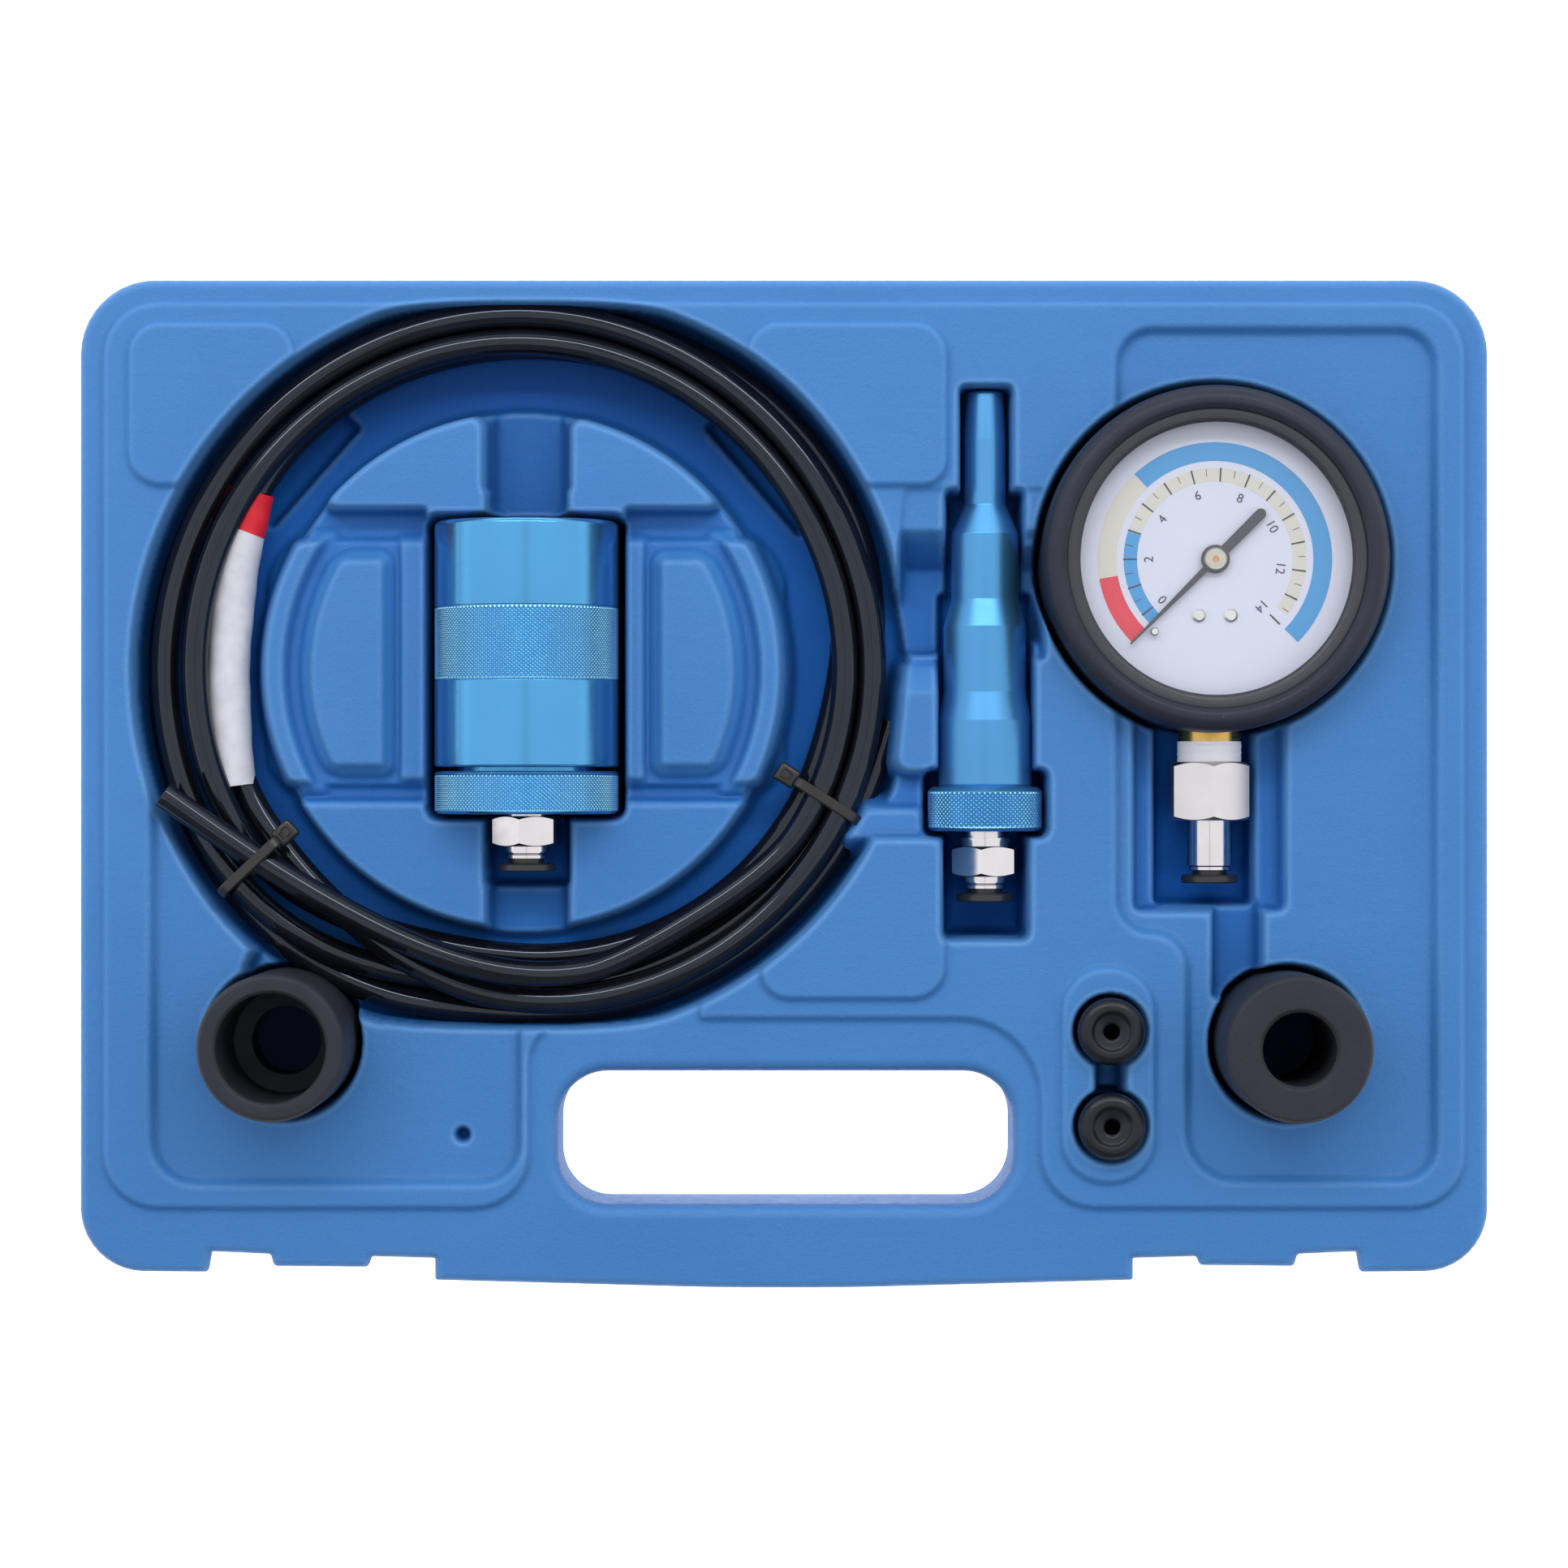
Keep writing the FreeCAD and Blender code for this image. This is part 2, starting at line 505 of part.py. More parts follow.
def wedge(c, r0, r1, a0, a1, z0, z1):
    a, b = math.radians(a0), math.radians(a1)
    m = (a + b) / 2
    w = Part.Wire([
        Part.Arc(*[V(c[0] + r1 * math.cos(t), c[1] + r1 * math.sin(t), z0) for t in (a, m, b)]).toShape(),
        Part.LineSegment(V(c[0] + r1 * math.cos(b), c[1] + r1 * math.sin(b), z0),
                         V(c[0] + r0 * math.cos(b), c[1] + r0 * math.sin(b), z0)).toShape(),
        Part.Arc(*[V(c[0] + r0 * math.cos(t), c[1] + r0 * math.sin(t), z0) for t in (b, m, a)]).toShape(),
        Part.LineSegment(V(c[0] + r0 * math.cos(a), c[1] + r0 * math.sin(a), z0),
                         V(c[0] + r1 * math.cos(a), c[1] + r1 * math.sin(a), z0)).toShape(),
    ])
    return Part.Face(w).extrude(V(0, 0, z1 - z0))


SZ0, SZ1 = 26.0, 27.2
TAIL_A, TAIL_L = 165.0, 7.0
TP = (PV[0] + TAIL_L * math.cos(math.radians(TAIL_A)), PV[1] + TAIL_L * math.sin(math.radians(TAIL_A)))
sector = wedge(PV, 12.4, R_SEC - 0.5, -2.0, 41.0, SZ0, SZ1)
sector = sector.fuse(wedge(PV, 1.5, 12.6, 12.0, 27.0, SZ0, SZ1))
sector = sector.fuse(disc(PV, 2.5, SZ0, SZ1))
sector = sector.fuse(tooth(PV, 0.0, TAIL_L, 1.5, 1.2, TAIL_A, SZ0, SZ1)).fuse(disc(TP, 1.5, SZ0, SZ1))
for k in range(-8, 2):
    sector = sector.fuse(tooth(PV, R_SEC - 0.6, R_SEC + 0.32, 0.28, 0.13, 35 + 360.0 / Z_SEC * k, SZ0, SZ1))
sector = sector.fuse(disc(PV, 0.9, 24.2, 30.2))
sector = sector.cut(disc(TP, 0.65, SZ0 - 1, SZ1 + 1))
save("sector_gear", one(sector))

arbor = disc((GX, GY), 0.75, 24.2, 35.7).fuse(disc((GX, GY), R_PIN - 0.55, 25.7, 27.5))
for k in range(Z_PIN):
    arbor = arbor.fuse(tooth((GX, GY), 0.9, R_PIN + 0.3, 0.3, 0.12, 215 + 20 + 40 * k, 25.7, 27.5))
arbor = arbor.fuse(disc((GX, GY), 1.5, 28.0, 29.0))
save("pinion_arbor", one(arbor))

# link from the sector's tail to the slotted lug
LK = (TP[0] - 1.8, TP[1] + 7.0)
dx, dy = LK[0] - TP[0], LK[1] - TP[1]
link = tooth(TP, 0.0, math.hypot(dx, dy), 0.7, 0.7, math.degrees(math.atan2(dy, dx)), 25.0, 25.7)
link = link.fuse(disc(TP, 1.2, 25.0, 25.7)).fuse(disc(LK, 1.2, 25.0, 25.7))
link = link.fuse(disc(TP, 0.6, 25.3, 27.6)).fuse(disc(LK, 0.5, 23.9, 25.3))
save("link", one(link))

dial = disc((GX, GY), 30.8, 32.7, 33.3).cut(disc((GX, GY), 2.5, 32, 34))
PIN_A, PIN_R = math.radians(230.0), 21.1
PIN = (GX + PIN_R * math.cos(PIN_A), GY + PIN_R * math.sin(PIN_A))
for sx in (-3.55, 3.55):
    dial = dial.cut(disc((GX + sx, GY - 12.5), 1.05, 32, 34))
dial = dial.cut(disc(PIN, 0.9, 32, 34))
save("dial_plate", one(dial))
save("dial_screws", Part.makeCompound([
    lathe([(28.0, 0), (28.0, 1.0), (33.3, 1.0), (33.3, 1.5), (33.7, 1.5), (34.0, 1.1), (34.0, 0)],
          (GX + sx, GY - 12.5, 0), UP) for sx in (-3.55, 3.55)]))
save("stop_pin", lathe([(31.6, 0), (31.6, 0.9), (35.0, 0.9), (35.2, 0.7), (35.2, 0)], (PIN[0], PIN[1], 0), UP))

# pointer: thin tapered blade, wide tail with a rounded end
PA = math.radians(225.0)
ux, uy = math.cos(PA), math.sin(PA)


def pxy(u, v, z):
    return V(GX + ux * u - uy * v, GY + uy * u + ux * v, z)


w = Part.Wire([
    Part.LineSegment(pxy(26.8, -0.2, 34.3), pxy(26.8, 0.2, 34.3)).toShape(),
    Part.LineSegment(pxy(26.8, 0.2, 34.3), pxy(0, 0.8, 34.3)).toShape(),
    Part.LineSegment(pxy(0, 0.8, 34.3), pxy(0, 1.1, 34.3)).toShape(),
    Part.LineSegment(pxy(0, 1.1, 34.3), pxy(-14.3, 1.2, 34.3)).toShape(),
    Part.Arc(pxy(-14.3, 1.2, 34.3), pxy(-15.5, 0, 34.3), pxy(-14.3, -1.2, 34.3)).toShape(),
    Part.LineSegment(pxy(-14.3, -1.2, 34.3), pxy(0, -1.1, 34.3)).toShape(),
    Part.LineSegment(pxy(0, -1.1, 34.3), pxy(0, -0.8, 34.3)).toShape(),
    Part.LineSegment(pxy(0, -0.8, 34.3), pxy(26.8, -0.2, 34.3)).toShape(),
])
pointer = Part.Face(w).extrude(V(0, 0, 0.5)).fuse(disc((GX, GY), 3.2, 34.3, 34.8)).cut(disc((GX, GY), 0.75, 34, 36))
save("pointer", one(pointer))
save("pointer_hub", lathe([(34.8, 0.75), (34.8, 2.6), (35.5, 2.6), (35.8, 2.3), (35.8, 0.75)], G, UP))

save("gauge_back_screws", Part.makeCompound([
    lathe([(9.8, 0), (9.8, 2.2), (10.2, 2.8), (11.5, 2.8), (11.5, 1.5), (17.8, 1.5), (17.8, 0)],
          (GX + sx, GY - 20, 0), UP) for sx in (-5.0, 5.0)]))

# sealing tape on the stem's thread and the hexagonal adapter below it
SB = (GX, GY, STEM_Z)
save("ptfe_tape", lathe([(40.6, 6.5), (40.6, 7.3), (45.2, 7.3), (45.2, 6.5)], SB, SOUTH))
adapter = hexagon(17.0, 45.3, 58.4, SB, SOUTH, 1.0, 1.0)
adapter = adapter.cut(rod(SB, SOUTH, 45, 53.2, 6.5)).cut(rod(SB, SOUTH, 53, 59, 4.8))
save("hex_adapter", one(adapter))


# ------------------------------------------------- push-in hose fittings (3)
def fitting(prefix, base, u0, hexed, shank_r=4.8, shank_len=5.0, neck=None, turn=0.0):
    """Push-in fitting along -Y. u0 is where it leaves what it screws into."""
    m = u0 + (14.0 if not hexed else 0)
    if hexed:
        # collar, hexagon, two rings
        c0 = u0 + neck
        body = rod(base, SOUTH, u0 - shank_len, c0, shank_r)
        if neck > 1.0:
            body = body.fuse(rod(base, SOUTH, u0 + neck * 0.45, c0 + 0.2, 5.8))
        body = body.fuse(hexagon(14.0, c0, c0 + 6.8, base, SOUTH, 1.0, turn))
        body = body.fuse(rod(base, SOUTH, c0 + 6.6, c0 + 8.0, 5.0))
        mouth = c0 + 9.5
        body = body.fuse(lathe([(c0 + 7.5, 0), (c0 + 7.5, 4.6), (c0 + 8.3, 4.6), (c0 + 8.55, 4.2),
                                (c0 + 8.8, 4.6), (mouth, 4.6), (mouth, 0)], base, SOUTH))
    else:
        mouth = u0 + 11.2
        body = rod(base, SOUTH, u0 - shank_len, u0 + 0.2, shank_r)
        body = body.fuse(lathe([(u0, 0), (u0, 5.15), (u0 + 10.2, 5.15), (u0 + 10.5, 4.8),
                                (mouth, 4.8), (mouth, 0)], base, SOUTH))
    bore_end = mouth - 9.6
    body = body.cut(rod(base, SOUTH, u0 - shank_len - 1, mouth + 1, 1.6))
    body = body.cut(rod(base, SOUTH, bore_end, mouth + 1, 3.05))
    body = body.cut(rod(base, SOUTH, bore_end + 1.6, bore_end + 3.2, 4.1))      # seal groove
    body = body.cut(rod(base, SOUTH, bore_end + 3.9, mouth + 1, 3.95))          # ring and collet
    save(prefix + "_body", one(body))
    # the seal: a ring of 1.6 mm section reaching into the hose bore
    ro, ri = 4.1, 2.8
    o = bore_end + 1.6
    save(prefix + "_oring", lathe([(o + 0.1, ri + 0.5), (o + 0.1, ro), (o + 1.5, ro), (o + 1.5, ri + 0.5),
                                   (o + 1.15, ri + 0.27), (o + 0.45, ri + 0.27)], base, SOUTH))
    g = bore_end + 3.9
    save(prefix + "_grip_ring", lathe([(g, 3.3), (g, 3.95), (g + 0.6, 3.95), (g + 0.5, 3.1), (g + 0.3, 3.1)],
                                      base, SOUTH))
    k = g + 1.9
    f = mouth + 1.1
    save(prefix + "_collet", lathe([(k, 3.1), (k, 3.75), (mouth - 0.5, 3.88), (f, 3.88), (f, 6.1), (f + 0.4, 6.4),
                                    (f + 1.6, 6.4), (f + 1.9, 6.1), (f + 1.9, 3.6), (f + 1.3, 3.1)], base, SOUTH))
    return mouth, f + 1.9, bore_end


print("gauge port", fitting("gauge_fitting", SB, 58.4, False, 4.8, 5.0))

# ------------------------------------------------------------------ coupling
CB = (CX, 59.0, CZ)          # u runs from the mouth towards -Y
cb_len = 54.8
body = lathe([(0, 14.2), (0, 20.0), (0.7, 20.7), (19.3, 20.7), (19.5, 20.5), (35.4, 20.5), (35.6, 20.7),
              (cb_len - 0.4, 20.7), (cb_len, 20.3), (cb_len, 17.6), (cb_len - 6.5, 17.6),
              (cb_len - 6.5, 16.5), (1.6, 16.5), (1.6, 14.2)], CB, SOUTH)
save("coupling_body", one(body))
save("coupling_sleeve", lathe([(1.6, 10.0), (1.6, 16.3), (46.4, 16.3), (46.4, 10.0)], CB, SOUTH))
save("coupling_thrust_ring", lathe([(46.8, 9.0), (46.8, 16.5), (48.3, 16.5), (48.3, 9.0)], CB, SOUTH))
save("coupling_seal_washer", lathe([(49.6, 5.2), (49.6, 16.0), (50.8, 16.0), (50.8, 5.2)], CB, SOUTH))
cap = lathe([(50.8, 0), (50.8, 17.1), (51.2, 17.52), (56.3, 17.52), (56.3, 20.1), (56.9, 20.7), (65.0, 20.7),
             (65.7, 20.0), (65.7, 0)], CB, SOUTH)
cap = cap.cut(rod(CB, SOUTH, 50, 59.5, 8.5)).cut(rod(CB, SOUTH, 59, 66, 4.8))
save("coupling_cap", one(cap))
print("coupling port", fitting("coupling_fitting", CB, 65.7, True, 4.8, 5.0, 0.5, -9.0))

# -------------------------------------------------------------------- nozzle
NB = (NX, 88.4, NZ)
nozzle = lathe([
    (0, 2.0), (0, 3.8), (0.4, 4.15), (11.0, 4.72), (25.5, 4.72), (32.1, 7.55), (46.8, 7.55), (53.0, 9.3),
    (67.7, 9.3), (74.1, 10.5), (88.6, 10.5), (89.0, 10.3), (89.0, 11.9), (90.0, 12.9), (98.2, 12.9),
    (99.0, 12.1), (99.0, 4.8), (92.0, 4.8), (92.0, 4.0), (60.0, 4.0), (40.0, 2.8), (38.0, 2.0)], NB, SOUTH)
save("step_nozzle", one(nozzle))
print("nozzle port", fitting("nozzle_fitting", NB, 99.0, True, 4.8, 6.0, 3.4, -8.5))


# ------------------------------------------------------------ rubber sleeves
def sleeve(name, c, profile):
    save(name, lathe(profile, (c[0], c[1], 0), UP))


Z0, Z1 = 9.3, 9.3 + SLEEVE_LEN
sleeve("large_sleeve", SL_A, [(Z0, 7.8), (Z0, 16.05), (Z0 + 0.2, 16.25), (Z1 - 0.6, 16.25), (Z1, 15.65),
                              (Z1, 12.6), (Z1 - 0.6, 12.05), (Z0 + 12, 12.05), (Z0 + 12, 7.8)])
sleeve("small_sleeve", SL_B, [(Z0, 8.15), (Z0, 16.05), (Z0 + 0.2, 16.25), (Z1 - 0.6, 16.25), (Z1, 15.65),
                              (Z1, 8.7), (Z1 - 0.6, 8.15)])
for name, c in (("plug_rear", PLUG_A), ("plug_front", PLUG_B)):
    save(name, lathe([(14.3, 1.85), (14.3, 5.6), (15.0, 6.3), (33.6, 6.3), (33.6, 6.9), (34.2, 7.5), (36.6, 7.5),
                      (37.9, 6.9), (38.4, 5.8), (38.4, 4.6), (37.6, 3.9), (37.3, 2.3), (37.0, 1.85)],
                     (c[0], c[1], 0), UP))

# ----------------------------------------------------------------------- hose
# The hose lies in the channel as four turns and a part, two strands wide and
# two high. Coil: the closed outer shape of the turns.
EC_O, EA_O, EB_O = (-58.8, 26.9), 85.4, 80.0
EC_I, EA_I, EB_I = (-54.4, 29.7), 66.4, 66.3
COIL_Z0, COIL_Z1 = 15.8, 27.9


def ellipse(c, a, b, z0, z1):
    e = Part.Ellipse(V(c[0], c[1], z0), a, b).toShape()
    return Part.Face(Part.Wire([e])).extrude(V(0, 0, z1 - z0))


coil = ellipse(EC_O, EA_O, EB_O, COIL_Z0, COIL_Z1).cut(ellipse(EC_I, EA_I, EB_I, COIL_Z0 - 1, COIL_Z1 + 1))


def tube_path(pts):
    """Wire of straight runs and tangent arcs through the route, the arc's
    radius 0.45 of the shorter run over the tangent of half the turn."""
    P = [V(*p) for p in pts]
    edges, at, radii = [], P[0], []
    for i in range(1, len(P) - 1):
        a, b, c = P[i - 1], P[i], P[i + 1]
        d1, d2 = b - a, c - b
        l1, l2 = d1.Length, d2.Length
        d1n, d2n = d1 * (1 / l1), d2 * (1 / l2)
        turn = math.acos(max(-1, min(1, d1n.dot(d2n))))
        t = 0.45 * min(l1, l2)
        r = t / math.tan(turn / 2)
        p1, p2 = b - d1n * t, b + d2n * t
        bis = d2n - d1n
        bis = bis * (1 / bis.Length)
        centre = b + bis * (r / math.cos(turn / 2))
        mid = centre - bis * r
        edges.append(Part.LineSegment(at, p1).toShape())
        edges.append(Part.Arc(p1, mid, p2).toShape())
        radii.append((round(math.degrees(turn), 1), round(r, 1), round(l1, 1)))
        at = p2
    edges.append(Part.LineSegment(at, P[-1]).toShape())
    return Part.Wire(edges), radii


def tube(name, pts, r=HOSE_R):
    path, radii = tube_path(pts)
    e = path.Edges[0]
    d = e.tangentAt(e.FirstParameter)
    prof = Part.Wire([Part.Circle(V(*pts[0]), d, r).toShape()])
    s = path.makePipeShell([prof], True, True)
    ratio = s.Volume / (math.pi * r * r * path.Length)
    print(name, "length", round(path.Length, 1), "volume over section times length", round(ratio, 4))
    print("  turn, radius, run:", radii)
    return s.Solids[0] if s.Solids else s


# The free end: up out of the coil at the front, over the left side and out.
ROUTE_FREE = [
    (-37.0, -40.6, 25.0), (-52.0, -43.2, 28.4), (-68.0, -41.4, 30.9), (-84.5, -35.6, 31.4),
    (-100.5, -27.4, 31.2), (-115.5, -18.4, 31.3), (-128.0, -10.0, 32.3), (-138.6, -2.4, 33.9),
]
free_end = tube("hose_free_end", ROUTE_FREE)


# ----------------------------------------------------------------- cable ties
def tie(p_in, p_out, z0, z1, head_off, head_z):
    """Strap as a closed loop round the hose between two points across it,
    fused with the ratchet head that closes it."""
    ix, iy = p_in
    ox, oy = p_out
    d = V(ox - ix, oy - iy, 0)
    length = d.Length
    d = d * (1 / length)
    w, t = 1.2, 1.1

    def loop(grow):
        r = 2.0 + grow
        pts = [(-grow, z0 - grow, r), (length + grow, z0 - grow, r),
               (length + grow, z1 + grow, r), (-grow, z1 + grow, r)]
        s = prism(pts, -w, w)
        # local x along the strap, local y up, local z across
        s.Placement = FreeCAD.Placement(
            V(ix, iy, 0),
            FreeCAD.Rotation(V(0, 0, 1), math.degrees(math.atan2(d.y, d.x))).multiply(
                FreeCAD.Rotation(V(1, 0, 0), 90)))
        return s

    strap = loop(t).cut(loop(0.0))
    head = Part.makeBox(5.4, 4.6, 3.4, V(-2.7, -2.3, -1.7))
    hx, hy = ix - d.x * head_off, iy - d.y * head_off
    head.Placement = FreeCAD.Placement(
        V(hx, hy, head_z), FreeCAD.Rotation(V(0, 0, 1), math.degrees(math.atan2(d.y, d.x))))
    return strap.fuse(head)


tie_left = tie((-113.2, -12.6), (-125.4, -24.1), 21.0, 34.8, 2.4, 32.6)
tie_right = tie((1.9, 0.8), (15.6, -8.0), 15.7, 28.0, 2.4, 26.0)

# ------------------------------------------------------------------- leaflet
# Paper leaflet rolled round the innermost strand on the left.
arc = Part.Arc(V(-120.2, 66.0, 22.6), V(-125.6, 27.0, 22.6), V(-124.2, -0.5, 22.6)).toShape()
arc_w = Part.Wire([arc])
d0 = arc.tangentAt(arc.FirstParameter)
p0 = arc.valueAt(arc.FirstParameter)
roll = arc_w.makePipeShell([Part.Wire([Part.Circle(p0, d0, 5.2).toShape()])], True, True)
core = arc_w.makePipeShell([Part.Wire([Part.Circle(p0, d0, 4.8).toShape()])], True, True)
leaflet = roll.cut(core)
save("leaflet", one(leaflet))

coil = coil.cut(tie_left).cut(tie_right).cut(leaflet)
print("coil solids", [round(s.Volume, 1) for s in coil.Solids])
coil = max(coil.Solids, key=lambda s: s.Volume)
save("hose_coil", coil)
save("hose_free_end", free_end)
save("cable_tie_left", one(tie_left))
save("cable_tie_right", one(tie_right))
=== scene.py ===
import bpy
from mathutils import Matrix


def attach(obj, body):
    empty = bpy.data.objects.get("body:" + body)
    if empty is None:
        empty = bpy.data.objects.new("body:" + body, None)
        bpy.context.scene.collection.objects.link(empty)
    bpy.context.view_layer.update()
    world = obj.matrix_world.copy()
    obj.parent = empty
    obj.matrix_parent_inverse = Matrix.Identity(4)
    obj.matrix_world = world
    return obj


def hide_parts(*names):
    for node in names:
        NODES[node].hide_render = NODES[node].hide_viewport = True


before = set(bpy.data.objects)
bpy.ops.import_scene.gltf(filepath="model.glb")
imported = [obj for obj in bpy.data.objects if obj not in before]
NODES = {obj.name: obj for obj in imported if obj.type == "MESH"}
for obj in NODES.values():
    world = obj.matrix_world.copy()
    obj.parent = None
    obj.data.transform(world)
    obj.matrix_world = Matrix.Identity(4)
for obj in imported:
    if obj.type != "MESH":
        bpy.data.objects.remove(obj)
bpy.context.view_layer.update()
import bpy
import math
import numpy as np
from mathutils import Vector, Matrix, geometry

# --------------------------------------------------------------------- camera
cam_data = bpy.data.cameras.new("camera")
cam_data.lens = 102.7
cam_data.sensor_width = 36
cam_data.sensor_height = 36
cam_data.clip_start = 0.05
cam_data.clip_end = 20
cam_data.dof.use_dof = False
cam = bpy.data.objects.new("camera", cam_data)
cam.location = (0, 0, 1.033)
bpy.context.collection.objects.link(cam)
bpy.context.scene.camera = cam
bpy.context.scene.view_settings.view_transform = "Standard"


# ------------------------------------------------------------------ materials
def lin(r, g, b):
    out = []
    for v in (r / 255, g / 255, b / 255):
        out.append(v / 12.92 if v <= 0.04045 else ((v + 0.055) / 1.055) ** 2.4)
    return tuple(out) + (1.0,)


class Mat:
    """Small builder for a Principled material with procedural nodes."""

    def __init__(self, name):
        self.m = bpy.data.materials.new(name)
        self.m.use_nodes = True
        self.nt = self.m.node_tree
        self.b = [n for n in self.nt.nodes if n.type == "BSDF_PRINCIPLED"][0]
        self.co = self.nt.nodes.new("ShaderNodeTexCoord").outputs["Object"]

    def put(self, **values):
        names = {"metal": "Metallic", "rough": "Roughness", "ior": "IOR", "spec": "Specular IOR Level",
                 "coat": "Coat Weight", "coat_rough": "Coat Roughness", "sheen": "Sheen Weight",
                 "sheen_rough": "Sheen Roughness", "trans": "Transmission Weight", "alpha": "Alpha",
                 "aniso": "Anisotropic", "sss": "Subsurface Weight", "sss_scale": "Subsurface Scale",
                 "color": "Base Color", "spec_tint": "Specular Tint", "coat_tint": "Coat Tint"}
        for k, v in values.items():
            self.b.inputs[names[k]].default_value = v
        return self

    def noise(self, scale, detail=3.0, rough=0.5, stretch=None, distortion=0.0):
        n = self.nt.nodes.new("ShaderNodeTexNoise")
        n.inputs["Scale"].default_value = scale
        n.inputs["Detail"].default_value = detail
        n.inputs["Roughness"].default_value = rough
        n.inputs["Distortion"].default_value = distortion
        src = self.co
        if stretch:
            mp = self.nt.nodes.new("ShaderNodeMapping")
            mp.inputs["Scale"].default_value = stretch
            self.nt.links.new(src, mp.inputs["Vector"])
            src = mp.outputs["Vector"]
        self.nt.links.new(src, n.inputs["Vector"])
        return n.outputs["Fac"]

    def voronoi(self, scale):
        n = self.nt.nodes.new("ShaderNodeTexVoronoi")
        n.inputs["Scale"].default_value = scale
        self.nt.links.new(self.co, n.inputs["Vector"])
        return n.outputs["Distance"]

    def ramp(self, fac, stops):
        n = self.nt.nodes.new("ShaderNodeValToRGB")
        e = n.color_ramp.elements
        while len(e) < len(stops):
            e.new(0.5)
        for el, (pos, col) in zip(e, stops):
            el.position = pos
            el.color = col if isinstance(col, tuple) else (col, col, col, 1.0)
        self.nt.links.new(fac, n.inputs["Fac"])
        return n.outputs["Color"]

    def mix(self, fac, a, b):
        n = self.nt.nodes.new("ShaderNodeMix")
        n.data_type = "RGBA"
        ins = [s for s in n.inputs if s.type == "RGBA"]
        fin = [s for s in n.inputs if s.type == "VALUE"][0]
        for s, v in ((fin, fac), (ins[0], a), (ins[1], b)):
            if hasattr(v, "links"):
                self.nt.links.new(v, s)
            else:
                s.default_value = v
        return [s for s in n.outputs if s.type == "RGBA"][0]

    def math(self, op, a, b=0.0, c=0.0):
        n = self.nt.nodes.new("ShaderNodeMath")
        n.operation = op
        for s, v in zip(n.inputs, (a, b, c)):
            if hasattr(v, "links"):
                self.nt.links.new(v, s)
            else:
                s.default_value = v
        return n.outputs[0]

    def axes(self):
        n = self.nt.nodes.new("ShaderNodeSeparateXYZ")
        self.nt.links.new(self.co, n.inputs[0])
        return n.outputs

    def times(self, a, b):
        n = self.nt.nodes.new("ShaderNodeMix")
        n.data_type = "RGBA"
        n.blend_type = "MULTIPLY"
        [s for s in n.inputs if s.type == "VALUE"][0].default_value = 1.0
        ins = [s for s in n.inputs if s.type == "RGBA"]
        self.nt.links.new(a, ins[0])
        self.nt.links.new(b, ins[1])
        return [s for s in n.outputs if s.type == "RGBA"][0]

    def attribute(self, name):
        n = self.nt.nodes.new("ShaderNodeAttribute")
        n.attribute_name = name
        return n.outputs["Fac"]

    def link(self, socket, out):
        self.nt.links.new(out, self.b.inputs[socket])
        return self

    def color(self, out):
        self.nt.links.new(out, self.b.inputs["Base Color"])
        return self

    def rough(self, out):
        self.nt.links.new(out, self.b.inputs["Roughness"])
        return self

    def bump(self, *layers):
        last = None
        for fac, strength, dist in layers:
            n = self.nt.nodes.new("ShaderNodeBump")
            n.inputs["Strength"].default_value = strength
            n.inputs["Distance"].default_value = dist
            self.nt.links.new(fac, n.inputs["Height"])
            if last is not None:
                self.nt.links.new(last, n.inputs["Normal"])
            last = n.outputs["Normal"]
        self.nt.links.new(last, self.b.inputs["Normal"])
        return self


def scaled(col, k):
    return tuple(min(1.0, c * k) for c in col[:3]) + (1.0,)


def plastic(name, col, rough=0.42, grain=900.0, grain_depth=0.00003, vary=0.06, cloud=25.0, spec=0.5):
    """Moulded plastic: fine orange peel, a little cloudiness in its colour."""
    m = Mat(name).put(spec=spec)
    cloudy = m.noise(cloud, 4, 0.6)
    m.color(m.ramp(cloudy, [(0.3, scaled(col, 1 - vary)), (0.7, scaled(col, 1 + vary))]))
    m.rough(m.ramp(m.noise(grain * 0.4, 2), [(0.3, rough - 0.06), (0.7, rough + 0.08)]))
    m.bump((m.noise(grain, 3, 0.6), 0.5, grain_depth), (m.noise(60, 2), 0.4, 0.0003))
    return m


case_blue = Mat("case_blue")
_c = case_blue
_cloud = _c.noise(18, 4, 0.6)
_flat = _c.ramp(_cloud, [(0.3, lin(53, 112, 175)), (0.7, lin(57, 117, 180))])
# Painted shade: recesses take a darker, more saturated blue the deeper they lie, by a ramp on height; the outer skirt
# is kept out of it.
_deep_shade = _c.ramp(_cloud, [(0.3, lin(22, 88, 170)), (0.7, lin(24, 94, 178))])
_high = _c.math("MAXIMUM", _c.math("MULTIPLY", _c.axes()["Z"], 25.0), _c.math("MULTIPLY", _c.attribute("outer"), 0.8))
_depth_shade = _c.ramp(_high, [(0.24, 1.0), (0.37, 0.9), (0.425, 0.54), (0.6, 0.52), (0.65, 0.48), (0.7, 0.12), (0.75, 0.0)])
# Painted shade: the deepest pits turn a dark navy.
_pit_shade = _c.ramp(_high, [(0.226, 1.0), (0.238, 0.0)])
_speck = _c.ramp(_c.noise(3200, 2, 0.6), [(0.3, 0.955), (0.72, 1.05)])
# Painted light from the relief: crests of the tray lighten towards a pale blue (painted highlight), the feet of its
# walls darken (painted shade).
_edge = _c.attribute("edge")
_crest_highlight = _c.ramp(_edge, [(0.54, 0.0), (0.9, 0.16)])
_foot_shade = _c.ramp(_edge, [(0.15, 0.82), (0.46, 1.0)])
